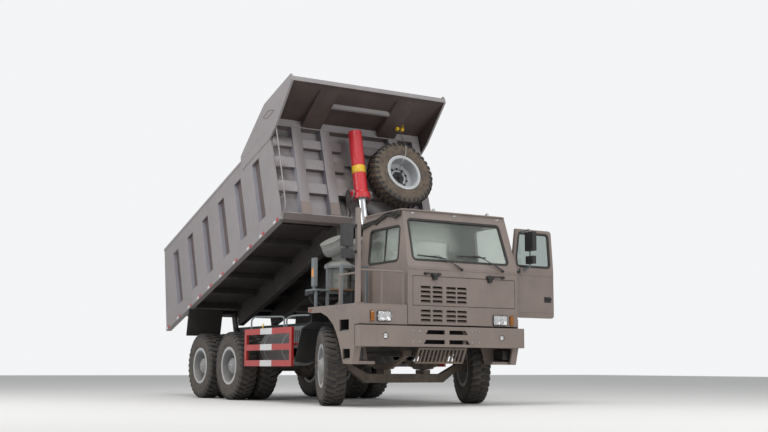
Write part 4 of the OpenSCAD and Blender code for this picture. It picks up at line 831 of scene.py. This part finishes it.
def mirror_head(shell, face, x0, x1, y0, y1, z0, z1):
    """A moulded shell with its mirror set in the face that looks back"""
    shell.box(x0 + 0.012, y0, z0, x1, y1, z1)
    for a, b, c, d in ((y0, y0 + 0.012, z0, z1), (y1 - 0.012, y1, z0, z1), (y0, y1, z0, z0 + 0.012),
            (y0, y1, z1 - 0.012, z1)):
        shell.box(x0, a, c, x0 + 0.013, b, d)
    face.box(x0 + 0.008, y0 + 0.012, z0 + 0.012, x0 + 0.0125, y1 - 0.012, z1 - 0.012)


MAST_Y = -1.616
shell, face, post = Shape(), Shape(), Shape()
x0, x1, x = CAB_FRONT - 0.11, CAB_FRONT - 0.04, CAB_FRONT - 0.072
mirror_head(shell, face, x0, x1, MAST_Y - 0.311, MAST_Y - 0.1, 2.56, 2.93)
mirror_head(shell, face, x0, x1, MAST_Y - 0.3, MAST_Y - 0.11, 2.37, 2.52)
for z in (2.9, 2.48):
    shell.cylinder((x, MAST_Y - 0.036, z), (x, MAST_Y - 0.19, z), 0.014, 12)
    shell.box(x - 0.028, MAST_Y - 0.05, z - 0.03, x + 0.028, MAST_Y - 0.036, z + 0.03)
shell.cylinder((x, MAST_Y - 0.205, 2.5), (x, MAST_Y - 0.205, 2.58), 0.014, 12)
shell.done("mast_mirror_shells", "plastic", bevel=0.01, segments=3, replaces="mirror_mast")
face.done("mast_mirror_faces", "mirror")
post.boxes((x - 0.036, MAST_Y - 0.036, DECK_Z + 0.0003, x + 0.036, MAST_Y + 0.036, 3.188),
    (x - 0.034, MAST_Y - 0.034, 3.186, x + 0.034, MAST_Y + 0.034, 3.2), (x - 0.078, MAST_Y - 0.028, DECK_Z + 0.0003,
    x + 0.051, MAST_Y + 0.09, DECK_Z + 0.012))
post.done("mast_post", "brown", bevel=0.006)

shell, face, tube = Shape(DOOR), Shape(DOOR), Shape(DOOR)
MX, MY = 0.83, CAB_LEFT + 0.15
mirror_head(shell, face, MX - 0.045, MX + 0.045, MY - 0.09, MY + 0.13, 2.69, 3.03)
mirror_head(shell, face, MX - 0.04, MX + 0.04, MY - 0.08, MY + 0.12, 2.46, 2.6)
shell.done("door_mirror_shells", "plastic", "door", bevel=0.014, segments=3, replaces="door_mirrors")
face.done("door_mirror_faces", "mirror", "door")
tube.tube([(MX, MY + y, z) for y, z in ((-0.196, 3.06), (-0.06, 3.072), (-0.015, 3.074), (0, 3.055), (0, 2.43),
    (-0.015, 2.405), (-0.05, 2.393), (-0.1466, 2.372))], 0.014, 12)
for z, y in ((3.06, CAB_LEFT - 0.05), (2.372, CAB_LEFT + 0.001)):
    tube.box(MX - 0.03, y, z - 0.03, MX + 0.03, y + 0.01, z + 0.03)
tube.done("door_mirror_tube", "post_grey", "door")

latch, ridge, card = Shape(DOOR), Shape(DOOR), Shape(DOOR)
for x0, y0, z0, x1, y1, z1 in ((0.225, -0.002, 1.8, 0.385, 0.004, 1.9), (0.33, 0.002, 1.85, 0.35, 0.022, 1.875),
        (0.222, 0.002, 1.85, 0.242, 0.022, 1.875), (0.95, -0.001, 2.3, 1.06, 0.03, 2.38)):
    latch.box(x0, CAB_LEFT + y0, z0, x1, CAB_LEFT + y1, z1)
latch.bar((0.225, CAB_LEFT + 0.02, 1.862), (0.345, CAB_LEFT + 0.02, 1.862), 0.026, 0.012)
latch.cylinder((0.365, CAB_LEFT, 1.825), (0.365, CAB_LEFT + 0.009, 1.825), 0.011, 16)
latch.done("door_latch", "plastic", "door", bevel=0.004)
for x, out, z in ((0.94, 0.008, 2.262), (1.065, 0.006, 1.612)):
    ridge.prism([(-0.001, z), (out, z + 0.006), (out, z + 0.014), (-0.001, z + 0.022)], 0.17, x,
        lambda u, v, w: (w, CAB_LEFT + u, v))
ridge.done("door_ridges", "brown", "door")
for x0, y0, z0, x1, y1, z1 in ((0.2, -0.06, 1.56, 1.04, -0.0505, 2.33), (0.3, -0.095, 2.05, 0.86, -0.058, 2.11),
        (0.25, -0.1, 1.62, 0.95, -0.058, 1.78)):
    card.box(x0, CAB_LEFT + y0, z0, x1, CAB_LEFT + y1, z1)
card.done("door_card", "trim", "door", bevel=0.006)

# Near-black sheets behind the gaps round the flap and over the bumper, painted shade of the hollows behind them
gap_shade = Shape()
gap_shade.ring(box_loop(-0.6, 1.47, 1.67, 2.125, 0.02), pairs(25, -56, -60, -56, -60, -62, 25, -62), on_front)
gap_shade.boxes((1.165, -1.6, 1.285, 1.18, 1.6, 1.338), (1.054, -0.48, 1.36, 1.058, 0.48, 2.02))
for z0, z1 in ((1.17, 1.26), (1.01, 1.1)):
    gap_shade.box(1.2, -0.43, z0, 1.206, 0.49, z1)
gap_shade.done("gap_painted_shade", "dark")

# Steps in the fenders' legs: a box with a barred tread
step_box, treads = Shape(), Shape()
STEP_IN, STEP_OUT, SHEET = 1.4, 1.618, 0.006
for side, _ in SIDES:
    a, b = side * STEP_IN, side * STEP_OUT
    for x0, x1, z0, z1 in ((0.65, 0.968, 1.225, 1.412), (0.765, 1.007, 0.77, 0.937)):
        step_box.box(x0, a, z0, x1, side * (STEP_IN + SHEET), z1)
        step_box.boxes((x0, a, z0, x1, b, z0 + SHEET), (x0, a, z1 - SHEET, x1, b, z1), (x0, a, z0, x0 + SHEET, b, z1),
            (x1 - SHEET, a, z0, x1, b, z1))
        for k in range(5):
            y = 1.435 + 0.042 * k
            treads.box(x0 + SHEET, side * y, z0 + SHEET, x1 - SHEET, side * (y + 0.012), z0 + SHEET + 0.012)
step_box.done("step_boxes", "plastic")
treads.done("step_treads", "steel", bevel=0.002, segments=1, slot="black_paint")

marker = Shape()
for side, _ in SIDES:
    z = 1.602 if side < 0 else 1.458
    marker.box(-0.425, side * 1.6445, z - 0.02, -0.35, side * 1.657, z + 0.02)
marker.done("side_markers", "orange", bevel=0.004)

# Side guards: white bands, rails over them, the ribbed battery boxes and the drum tanks' straps
bands, hoops, ribs, straps, yellow = Shape(), Shape(), Shape(), Shape(), Shape()
for side, _ in SIDES:
    for z in (0.655, 0.9475, 1.24):
        bands.box(-2.416, side * 1.5938, z - 0.0012, -1.912, side * 1.6462, z + 0.1112)
    y = side * 1.615
    for path in (pairs(-2872, 1345, -2875, 1480, -2862, 1520, -2800, 1556, -2726, 1574, -2100, 1560, -1560, 1545,
            -1490, 1530, -1462, 1495, -1455, 1345), pairs(-1358, 1345, -1362, 1462, -1340, 1502, -1250, 1528,
            -1114, 1543, -800, 1540, -470, 1530)):
        hoops.tube([(x, y, z) for x, z in path], 0.015, 12)
    yellow.tube([(-2.36, y, 1.346), (-2.36, y, 1.425), (-2.36, y - side * 0.02, 1.436)], 0.012, 10)
    low, high = sorted((side * 0.7, side * 1.412))
    ribs.boxes((-1.565, low, 1.2903, -1.035, high, 1.32), (-1.555, low + 0.01, 1.318, -1.045, high - 0.01, 1.372))
    for k in range(7):
        x = -1.53 + 0.074 * k
        ribs.box(x, side * 1.396, 0.995, x + 0.026, side * 1.413, 1.285)
    for x in (-2.78, -2.0):
        turn = shift(x, side * 1.06, 1.0) @ spin(90, "Y")
        straps.lathe(pairs(330.5, -30, 334, -28, 334, 28, 330.5, 30), 48, turn)
    for x, way in ((-2.95, -1), (-1.7, 1)):
        turn = shift(x, side * 1.06, 1.0) @ spin(way * 90, "Y")
        straps.lathe(pairs(0, 0, 285, 0, 300, 6, 322, 6, 331, 0, 334, -12, 330.3, -20, 330.3, -1, 0, -1), 48, turn)
    turn = shift(-2.4, side * 1.06, 1.326)
    straps.lathe(pairs(0, 0, 60, 0, 60, 22, 70, 26, 70, 48, 60, 54, 0, 54), 24, turn)
bands.done("guard_bands", "white", bevel=0.003)
hoops.done("guard_hoops", "post_grey")
ribs.done("battery_lids", "post_grey", bevel=0.004)
straps.done("tank_fittings", "post_grey", slot="black_paint")
yellow.done("yellow_handles", "yellow")

# Air cleaners: a boxy body under a brim, and a tilted drum with ribs and clamps
drums, clamps = Shape(), Shape()
BODY_LINE = pairs(0, 0, 176, 0, 182, 6, 182, 130, 186, 134, 186, 146, 178, 150, 178, 156, 186, 160, 186, 172,
    182, 176, 182, 362, 0, 362)
DRUM_LINE = pairs(0, -50, 105, -50, 115, 0, 176, 4, 186, 12, 205, 56, 205, 64, 209, 68, 212, 76, 212, 150, 206, 155,
    206, 226, 212, 232, 214, 244, 208, 256, 196, 258, 190, 250, 60, 262, 0, 262)
for x, y, brim in ((-0.505, -1.02, 0.268), (-0.515, -0.56, 0.188)):
    base = shift(x, y, 1.9943)
    turned = base @ spin(22.5, "Z")
    drums.lathe(BODY_LINE, 8, turned, closed=False)
    drums.lathe([(0, 0.362), (brim - 0.004, 0.362), (brim, 0.366), (brim, 0.42), (brim - 0.006, 0.43), (0.15, 0.505),
        (0.12, 0.512), (0, 0.512)], 8, turned, closed=False)
    drums.lathe(pairs(0, 500, 118, 500, 118, 600, 0, 600), 32, base, closed=False)
    tilt = base @ shift(0, -0.06, 0.64) @ spin(3, "Y") @ spin(29, "X")
    drums.lathe(DRUM_LINE, 56, tilt, closed=False)
    drums.tube([tilt @ Vector((0, 0, -0.03)), base @ Vector((0, -0.02, 0.56)), base @ Vector((0, 0, 0.5))], 0.112, 24)
    for a in (20, 110, 200, 290):
        clamps.box(0.162, -0.012, 0.12, 0.185, 0.012, 0.186, base @ spin(a, "Z"))
        clamps.box(0.203, -0.01, 0.12, 0.2125, 0.01, 0.175, tilt @ spin(a, "Z"))
drums.done("cleaner_drums", "grey", bevel=0.003, smooth=40, replaces="air_cleaners")
clamps.done("cleaner_clamps", "steel", bevel=0.002, segments=1, slot="grey_paint")
ducts = Shape()
ducts.tube(triples(-675, -560, 2150, -755, -560, 2145, -815, -560, 2110, -840, -560, 2040, -840, -560, 1600,
    -815, -560, 1500, -715, -540, 1435, -575, -460, 1410, -465, -360, 1375, -415, -290, 1300, -405, -270, 1240),
    0.052, 16)
ducts.done("intake_duct", "seal", smooth=60)

# Shelf, narrow switch box with a blank plate, and the plugs under it
shelf, switch, plate, plugs = Shape(), Shape(), Shape(), Shape()
shelf.box(-0.75, -1.56, 1.955, -0.39, -1.262, 1.985)
shelf.bar((-0.43, -1.52, DECK_Z), (-0.43, -1.52, 1.957), 0.04, 0.04, (1, 0, 0))
shelf.done("side_shelf", "post_grey", bevel=0.002)
switch.boxes((-0.59, -1.53, 2.03, -0.47, -1.47, 2.53), (-0.582, -1.535, 2.045, -0.478, -1.529, 2.515),
    (-0.56, -1.52, 1.9855, -0.5, -1.48, 2.031))
switch.done("switch_box", "post_grey", bevel=0.006, segments=3)
plate.box(-0.572, -1.5365, 2.2, -0.494, -1.5345, 2.345)
plate.done("switch_box_plate", "orange_plate", bevel=0.0008)
for x0, x1, z0, z1 in ((-0.74, -0.6, 1.88, 1.9545), (-0.58, -0.45, 1.895, 1.9545)):
    plugs.box(x0, -1.575, z0, x1, -1.42, z1)
plugs.tube(triples(-680, -1500, 1885, -680, -1500, 1820, -660, -1470, 1760, -600, -1400, 1700, -540, -1330, 1665),
    0.014, 10)
plugs.tube(triples(-520, -1500, 1900, -520, -1500, 1830, -500, -1460, 1770, -460, -1400, 1710, -440, -1360, 1665),
    0.012, 10)
plugs.done("switch_box_plugs", "plastic", bevel=0.006)

# Hoses that come out of the cab's rear wall and lie along the right edge of its roof
def beside(x, z, off):
    """A point off the cab's right side, under the roof's edge"""
    return (x, side_y(z) - off, z)


# x, z, share of the hose's drop, distance off the side, and what each further hose adds to it
ROOF_RUN = [(-0.27, 3.14, 1, 0.008, 0), (-0.12, 3.15, 0.8, 0.003, 0), (0.04, 3.165, 0.5, 0.003, 0),
    (0.18, 3.17, 1, 0.004, 0), (0.3, 3.2, 0.6, 0.003, 0), (0.42, 3.235, 0.8, 0.004, 0.008),
    (0.54, 3.262, 0.5, 0.003, 0), (0.62, 3.255, 1, 0.005, 0.01), (0.7, 3.262, 0.8, 0.004, 0),
    (0.78, 3.235, 0.4, 0.004, 0), (0.85, 3.25, 0.6, 0.006, 0), (0.93, 3.262, 0.7, 0.003, 0),
    (0.955, 3.225, 0.5, 0.002, 0)]
loom = Shape()
for k, (drop, r) in enumerate(((0, 0.017), (0.036, 0.013), (0.068, 0.015))):
    path = [(-0.29, -0.6 + drop, 2.93), (-0.325, -0.602 + drop, 2.932), (-0.348, -0.615 + drop * 0.6, 2.975),
        (-0.348, -0.65, 3.07 - drop), (-0.328, -0.685, 3.12 - drop)]
    path += [beside(x, z - drop * share, r + off + more * k) for x, z, share, off, more in ROOF_RUN]
    loom.tube(path + [beside(0.95, 3.2 - drop * 0.5, -0.02)], r)
for x, z, wide in ((0.8, 3.19, 0.062), (0.84, 3.205, 0.048), (0.905, 3.2, 0.04)):
    loom.tube([beside(x + wide * cos(a), z + wide * 0.8 * sin(a), 0.026 + 0.01 * cos(2 * a + x))
        for a in (2 * pi * k / 24 for k in range(24))], 0.012, 8, closed=True)
loom.done("roof_hoses", "seal", smooth=60)

# Bed: doubler plates, tape, outline of the canopy's pocket, hook, doublers on the ribs' feet
side_plate, reds, whites, pocket = Shape(BED), Shape(BED), Shape(BED), Shape(BED)
PATCHES = (-0.17, -0.802, -1.399, -2.091, -2.797, -3.434, -4.043, -4.586, -5.25, -5.939)
pocket_loop = hull_loop(pairs(-122, 2188, 18, 2102, 318, 2094, 148, 2186), 0.014)
for side, _ in SIDES:
    y = side * BED_HALF
    side_plate.prism(pairs(-0.5, 1657, -0.5, 1859.5, -1308, 1859.5, -1300, 1652), 0.0095, 0.0005,
        lambda u, v, w: (u, y - side * w, v))
    for x in PATCHES:
        whites.box(x - 0.115, y, 0.01, x, y + side * 0.0012, 0.06)
        reds.box(x, y, 0.01, x + 0.115, y + side * 0.0012, 0.06)
    pocket.ring(pocket_loop, pairs(0, 0, 0, 3, -11, 3, -11, 0), lambda u, v, w: (u, y + side * w, v))
side_plate.done("side_doublers", "bed_brown", "bed", bevel=0.002, segments=1)
whites.done("tape_white", "tape_white", "bed")
reds.done("tape_red", "tape_red", "bed")
# the pocket's outline takes the slots' painted-shade colour
pocket.done("pocket_outline", "slot_brown", "bed")
feet = Shape(BED)
for y, z0, z1 in ((-1.16, 0.112, 0.367), (-0.54, 0.14, 0.395), (1.004, 0.14, 0.395), (1.56, 0.112, 0.367)):
    feet.prism([(wall_x(z0) - 0.001, z0), (wall_x(z0) + 0.008, z0), (wall_x(z1) + 0.008, z1),
        (wall_x(z1) - 0.001, z1)], y - 0.098, y + 0.098, along_y())
feet.done("rib_feet", "brown", "bed", bevel=0.002, segments=1)
beam = Shape(BED)
# Light lip under the front wall's top beam
beam.bar((wall_x(1.915) + 0.004, -1.6, 1.912), (wall_x(1.915) + 0.004, 1.6, 1.912), 0.01, 0.012, (0, 0, 1))
beam.done("beam_lip", "bed_brown", "bed", bevel=0.002, segments=1)
hook = Shape(BED)
for dy in (-0.055, 0.055):
    hook.lathe(pairs(0, -28, 36, -28, 44, -20, 32, 0, 44, 20, 36, 28, 0, 28), 28,
        shift(0.4, 1.02 + dy, 2.0) @ spin(90, "X"), closed=False)
    hook.bar((0.4, 1.02 + dy * 1.45, 2.125), (0.4, 1.02 + dy * 1.45, 1.96), 0.012, 0.06, (1, 0, 0))
hook.done("hook_block", "yellow", "bed", bevel=0.004)

# Hoist: yellow band, plates at the trunnions, hoses down to the wall's foot
band = Shape(HOIST)
band.lathe([(BARREL_R + 0.0002, 0.425), (BARREL_R + 0.002, 0.427), (BARREL_R + 0.002, 0.568),
    (BARREL_R + 0.0002, 0.57)], 64)
band.done("barrel_band", "yellow", "hoist_cylinder", smooth=50)
barrel_bits = Shape(HOIST)
for x, y in circle(0.148, 10):
    barrel_bits.bolt((x, y, -BARREL_LOW + 0.001), (0, 0, -1), 0.01, 0.01)
barrel_bits.lathe([(0.092, -0.112), (0.108, -0.112), (0.114, -0.106), (0.114, -BARREL_LOW + 0.001),
    (0.092, -BARREL_LOW + 0.001)], 40)
barrel_bits.lathe([(0, BARREL_LEN - 0.001), (0.1, BARREL_LEN - 0.001), (0.1, BARREL_LEN - 0.0005),
    (0, BARREL_LEN - 0.0005)], 24)
barrel_bits.done("barrel_gland", "steel", "hoist_cylinder", slot="red_paint", smooth=30)
caps = Shape(BED)
hoses = Shape(BED)
for side, _ in SIDES:
    turn = shift(TRUNNION.x, side * 0.205, TRUNNION.z) @ spin(-side * 90, "X")
    caps.lathe(pairs(0, 12, 46, 12, 58, 8, 60, 1, 0, 1), 32, turn, closed=False)
    for x, z in circle(0.045, 4, 0.5):
        caps.bolt((TRUNNION.x + x, side * 0.213, TRUNNION.z + z), (0, side, 0), 0.007, 0.008)
for k in range(3):
    d = 0.034 * k
    hoses.tube([(0.12 + d * 0.4, -0.222, 0.66 - d), (0.135 + d, -0.262, 0.64 - d),
        (0.12 + d, -0.285 - d * 0.4, 0.56 - d), (0.088 + d, -0.28 - d * 0.6, 0.42),
        (0.094 + d * 0.5, -0.262 - d * 0.4, 0.3), (0.08 + d * 0.4, -0.235, 0.2), (0.02, -0.222 - d * 0.3, 0.12),
        (-0.05, -0.205, 0.06)], 0.015, 12)
caps.done("trunnion_caps", "hoist_red", "bed", bevel=0.0015, segments=1)
hoses.done("hoist_hoses", "seal", "bed", smooth=60)

# Wheels: nuts, caps, valve stems and the spare's bright flange
def wheel_bits(name, matrix, body, disc_z, cap_z=None, cap_r=0, ring_z=0.1665):
    nuts, flange = Shape(matrix), Shape(matrix)
    for x, y in circle(0.178, 10, 0.5):
        nuts.bolt((x, y, disc_z - 0.0005), (0, 0, 1), 0.016, 0.026)
        nuts.cylinder((x, y, disc_z), (x, y, disc_z + 0.04), 0.008, 8)
    if cap_z:
        for x, y in circle(cap_r * 0.68, 8):
            nuts.bolt((x, y, cap_z - 0.0005), (0, 0, 1), 0.008, 0.01)
        nuts.lathe([(0, cap_z + 0.012), (cap_r * 0.42, cap_z + 0.011), (cap_r * 0.48, cap_z - 0.0005),
            (0, cap_z - 0.0005)], 24, closed=False)
    nuts.done(name + "_nuts", "steel", body, smooth=30)
    flange.lathe([(r, ring_z + h) for r, h in ((0.3685, -0.013), (0.3695, -0.004), (0.366, 0.0012), (0.338, 0.0012),
        (0.334, -0.002), (0.334, -0.004), (0.3675, -0.004))], 72)
    flange.cylinder((0.295, 0, disc_z + 0.02), (0.318, 0, ring_z - 0.02), 0.006, 8)
    flange.done(name + "_flange", "rim_edge", body, smooth=40)


for name, body, outer, inner in WHEELS:
    wheel_bits(name, outer, body, *((-0.1425, 0.13, 0.1) if inner else (0.094, 0.21, 0.09)))
wheel_bits("spare", SPARE, "bed", -0.066)
clamp = Shape(SPARE)
clamp.lathe(pairs(0, -65.5, 125, -65.5, 125, -63, 0, -63), 32)
for a in (0.4, 2 * pi / 3 + 0.4, 4 * pi / 3 + 0.4):
    clamp.bar((0, 0, -0.055), (0.15 * cos(a), 0.15 * sin(a), -0.055), 0.045, 0.014)
clamp.bolt((0, 0, -0.048), (0, 0, 1), 0.026, 0.04)
clamp.done("spare_clamp", "black", "bed", bevel=0.003)

# Cab: dash with a hood over the gauges, wheel, seat with padded cushions, engine cover
dash, gauges = Shape(), Shape()
DASH_X = 1.0097
dash.prism(pairs(0, 1750, 0, 2325, -20, 2330, -235, 2268, -250, 2250, -244, 2060, -130, 1750), -0.641, 1.405,
    along_y(DASH_X))
dash.prism(pairs(-100, 2300, -130, 2335, -270, 2318, -285, 2300, -240, 2255), 0.74, 1.26, along_y(DASH_X))
dash.boxes((-0.1, -0.55, 1.551, 0.5, 0.5, 1.8), (-0.08, -0.52, 1.795, 0.48, 0.47, 1.812),
    (-0.06, 0.76, 1.551, 0.4, 1.24, 1.7))
for z in (1.71, 1.75, 1.79, 1.83):
    dash.box(-0.04, 0.78, z, 0.38, 1.22, z + 0.028)
dash.cylinder((0.2, 1.0, 1.69), (0.2, 1.0, 1.87), 0.1, 24)
dash.cylinder((0.35, 0.34, 1.79), (0.35, 0.36, 2.1), 0.012, 12)
dash.lathe(pairs(0, -30, 24, -20, 30, 0, 24, 20, 0, 30), 20, shift(0.35, 0.36, 2.12), False)
dash.done("dash_and_cover", "trim", bevel=0.012, segments=3, replaces="cab_interior")
for y, r in ((0.84, 0.045), (0.95, 0.06), (1.08, 0.06), (1.19, 0.045)):
    gauges.cylinder((DASH_X - 0.248, y, 2.2), (DASH_X - 0.256, y, 2.199), r, 28)
for k in range(5):
    gauges.box(DASH_X - 0.253, -0.45 + 0.2 * k, 2.16, DASH_X - 0.245, -0.33 + 0.2 * k, 2.22)
gauges.done("gauges", "screen", bevel=0.003)
wheel = Shape()
column = shift(DASH_X - 0.33, 1.0, 2.33) @ spin(-36, "Y")
wheel.lathe([(0.225 + r, h) for r, h in circle(0.016, 10)], 64, column)
wheel.lathe(pairs(0, -45, 35, -45, 60, -20, 62, 4, 50, 14, 0, 18), 28, column, False)
for x, y in circle(1, 3):
    wheel.bar(column @ Vector((0.045 * x, 0.045 * y, -0.006)), column @ Vector((0.222 * x, 0.222 * y, 0)), 0.034,
        0.012, column.to_3x3() @ Vector((0, 0, 1)))
wheel.tube([(DASH_X - 0.15, 1.0, 2.08), (DASH_X - 0.24, 1.0, 2.205), (DASH_X - 0.312, 1.0, 2.305)], 0.032, 18)
wheel.done("steering_wheel", "plastic", bevel=0.002, smooth=60, slot="cab_trim")


def pad(name, matrix, size, crown=0.018, welts=(0.34, 0.66), power=5, cuts=22):
    """A padded cushion: a crowned box with pulled-in sides, a piped edge and sewn channels, +Z its face"""
    bm = bmesh.new()
    bmesh.ops.create_cube(bm, size=2)
    bmesh.ops.subdivide_edges(bm, edges=bm.edges, cuts=cuts, use_grid_fill=True)
    for v in bm.verts:
        far = sum(abs(c) ** power for c in v.co) ** (1 / power)
        x, y, z = v.co / far
        dip = sum(exp(-((y * 0.5 + 0.5 - t) / 0.022) ** 2) for t in welts)
        waist = 1 - 0.025 * (1 - z * z) * (1 - min(1.0, abs(x * y)))
        top = z * size[2] / 2
        if z > 0:
            top += crown * (1 - x * x) * (1 - y * y) - 0.01 * dip * min(1.0, 3 * z) * (1 - x ** 8)
        v.co = matrix @ Vector((x * waist * size[0] / 2, y * waist * size[1] / 2, top))
    piece(name, bm, "fabric", smooth=80)
    edge = []
    for c, s in circle(1, 96):
        far = (abs(c) ** power + abs(s) ** power) ** (1 / power) / 0.972
        edge.append((c / far * size[0] / 2, s / far * size[1] / 2, size[2] * 0.3))
    rim = Shape(matrix)
    rim.tube(edge, 0.0055, 8, closed=True)
    rim.done(name + "_piping", "seal", smooth=60, slot="cab_trim")


pad("seat_cushion", TRUCK @ shift(0.19, 1.0, 1.935), (0.5, 0.5, 0.115))
pad("seat_back", TRUCK @ shift(-0.035, 1.0, 2.29) @ spin(82, "Y"), (0.66, 0.48, 0.105))

# Ladder up the front wall's right corner: one rail, rungs to the side's edge, its foot bent back to the floor
ladder = Shape(BED)
LADDER_Y, LADDER_OUT = -1.655, 0.15
rail = [(wall_x(z) + LADDER_OUT, LADDER_Y, z) for z in (1.9, 1.45, 1.1, 0.75, 0.4, 0.24)]
rail = [(wall_x(1.93) + 0.02, LADDER_Y, 1.945), (wall_x(1.93) + 0.09, LADDER_Y, 1.94)] + rail
rail += [(wall_x(0.18) + LADDER_OUT - 0.01, LADDER_Y, 0.19), (wall_x(0.1) + LADDER_OUT - 0.045, LADDER_Y, 0.14),
    (wall_x(0.1) + 0.045, LADDER_Y, 0.09), (wall_x(0.05) + 0.004, LADDER_Y, 0.07)]
ladder.tube(rail, 0.013, 12)
for z in (1.47, 1.11, 0.755, 0.4):
    ladder.tube([(wall_x(z) - 0.004, LADDER_Y, z - 0.012), (wall_x(z) + LADDER_OUT, LADDER_Y, z + 0.012)], 0.01, 10)
ladder.done("ladder_shape", "bed_brown", "bed", smooth=60, replaces="bed_ladder")

# Stand of the air cleaners
stand, tray = Shape(), Shape()
for x, y in ((-0.44, -1.29), (0.06, -1.29), (0.06, -0.79)):
    stand.boxes((x - 0.023, y - 0.023, DECK_Z + 0.0005, x + 0.023, y + 0.023, 2.385),
        (x - 0.045, y - 0.045, DECK_Z + 0.0005, x + 0.045, y + 0.045, DECK_Z + 0.012))
stand.boxes((-0.44, -1.305, 2.35, 0.06, -1.275, 2.38), (0.045, -1.29, 2.35, 0.075, -0.79, 2.38),
    (-0.47, -1.29, 1.91, -0.41, -0.34, 1.97), (-0.47, -0.435, 1.1505, -0.41, -0.365, 1.97))
stand.done("stand_shape", "post_grey", bevel=0.003, replaces="cleaner_stand")
tray.box(-0.7, -1.262, 1.9702, -0.33, -0.33, 1.994)
tray.done("stand_tray", "rust_edge", bevel=0.002)

# Oil cooler hung under the tray, with its pipes down to the frame
cooler, fins = Shape(), Shape()
cooler.boxes((-0.65, -0.93, 1.6, -0.61, -0.78, 1.97), (-0.26, -0.93, 1.6, -0.22, -0.78, 1.97),
    (-0.63, -0.915, 1.625, -0.24, -0.795, 1.93))
for x, drop in ((-0.58, 0.0), (-0.5, 0.02), (-0.33, 0.01)):
    cooler.tube([(x, -0.86, 1.63), (x, -0.855, 1.56 - drop), (x + 0.01, -0.83, 1.5 - drop),
        (x + 0.03, -0.74, 1.44 - drop), (x + 0.05, -0.6, 1.4 - drop), (x + 0.05, -0.48, 1.37 - drop),
        (x + 0.05, -0.4, 1.3)], 0.02, 12)
for k in range(11):
    z = 1.64 + 0.027 * k
    fins.box(-0.612, -0.936, z, -0.258, -0.914, z + 0.008)
cooler.done("oil_cooler", "black", bevel=0.004, smooth=50)
fins.done("oil_cooler_fins", "black", bevel=0.001, segments=1)

# Tail lamps on plates at the frame's end
plates, tails = Shape(), Shape()
for side, _ in SIDES:
    low, high = sorted((side * 0.19, side * 0.449))
    plates.box(-6.292, low, 0.975, -6.2855, high, 1.125)
    for y0, y1 in ((0.205, 0.28), (0.29, 0.365), (0.375, 0.44)):
        low, high = sorted((side * y0, side * y1))
        tails.box(-6.33, low, 0.99, -6.291, high, 1.11)
plates.done("tail_plates", "black", bevel=0.001, segments=1)
tails.done("tail_lamps", "tape_red", bevel=0.008, segments=3, slot="lamp_lens")

# Wire rope from the hook over the spare wheel, made fast at the middle of its disc
ROPE_END = SPARE @ Vector((0.0, 0.075, -0.038))
anchors = triples(400, 1020, 1968, 402, 1020, 1930, 420, 1015, 1860, 455, 1000, 1770, 500, 985, 1690, 545, 975, 1610,
    572, 968, 1530, 582, 955, 1440, 580, 930, 1350, 565, 890, 1260, 530, 855, 1180, 470, 842, 1130, 400, 845, 1100)
anchors = [BED @ Vector(p) for p in anchors]
anchors += [ROPE_END.lerp(anchors[-1], 0.35), ROPE_END]


def smooth_route(points, per=6):
    """Points close together on a smooth curve through the given ones"""
    out = []
    ends = [points[0] * 2 - points[1]] + points + [points[-1] * 2 - points[-2]]
    for a, b, c, d in zip(ends, ends[1:], ends[2:], ends[3:]):
        for k in range(per):
            t = k / per
            out.append(0.5 * (2 * b + (c - a) * t + (2 * a - 5 * b + 4 * c - d) * t ** 2
                + (3 * b - a - 3 * c + d) * t ** 3))
    return out + [points[-1]]


route = smooth_route(anchors)
rope = Shape(Matrix.Identity(4))
rope.tube(route, 0.006, 10)
rope_piece = rope.done("spare_rope", "steel", "bed", smooth=60, slot="black_paint")

# Finish of the CAD nodes
FINISH = {
    "black": "frame fender_arms sub_frame engine_block radiator rear_axles rear_springs right_knuckle left_knuckle",
    "axle_brown": "front_axle front_springs skid_guard",
    "plastic": "wheel_guards door_mirrors",
    "trim": "cab_interior",
    "clear": "lamps",
    "brown": "mirror_mast handrails bumper right_fender left_fender cab_shell front_flap driver_door",
    "grey": "cleaner_stand air_cleaners",
    "tank": "fuel_tanks",
    "red": "side_guards",
    "rim": "front_right_wheel front_left_wheel middle_right_wheels middle_left_wheels rear_right_wheels "
        "rear_left_wheels",
    "bed_dark": "bed_floor bed_sills",
    "bed_brown": "bed_ladder bed_right_side bed_left_side bed_front_wall bed_canopy",
    "seal": "mud_flaps",
    "spare_rim": "spare_wheel",
    "hoist_red": "hoist_barrel",
    "chrome": "hoist_stage_a hoist_stage_b hoist_rod",
    "screen": "cab_glass",
    "side_glass": "door_glass",
}
for key, nodes in FINISH.items():
    for node in nodes.split():
        mesh = NODES[node].data
        mesh.materials.clear()
        mesh.materials.append(MATS[key])

bpy.context.scene.view_settings.view_transform = "Standard"
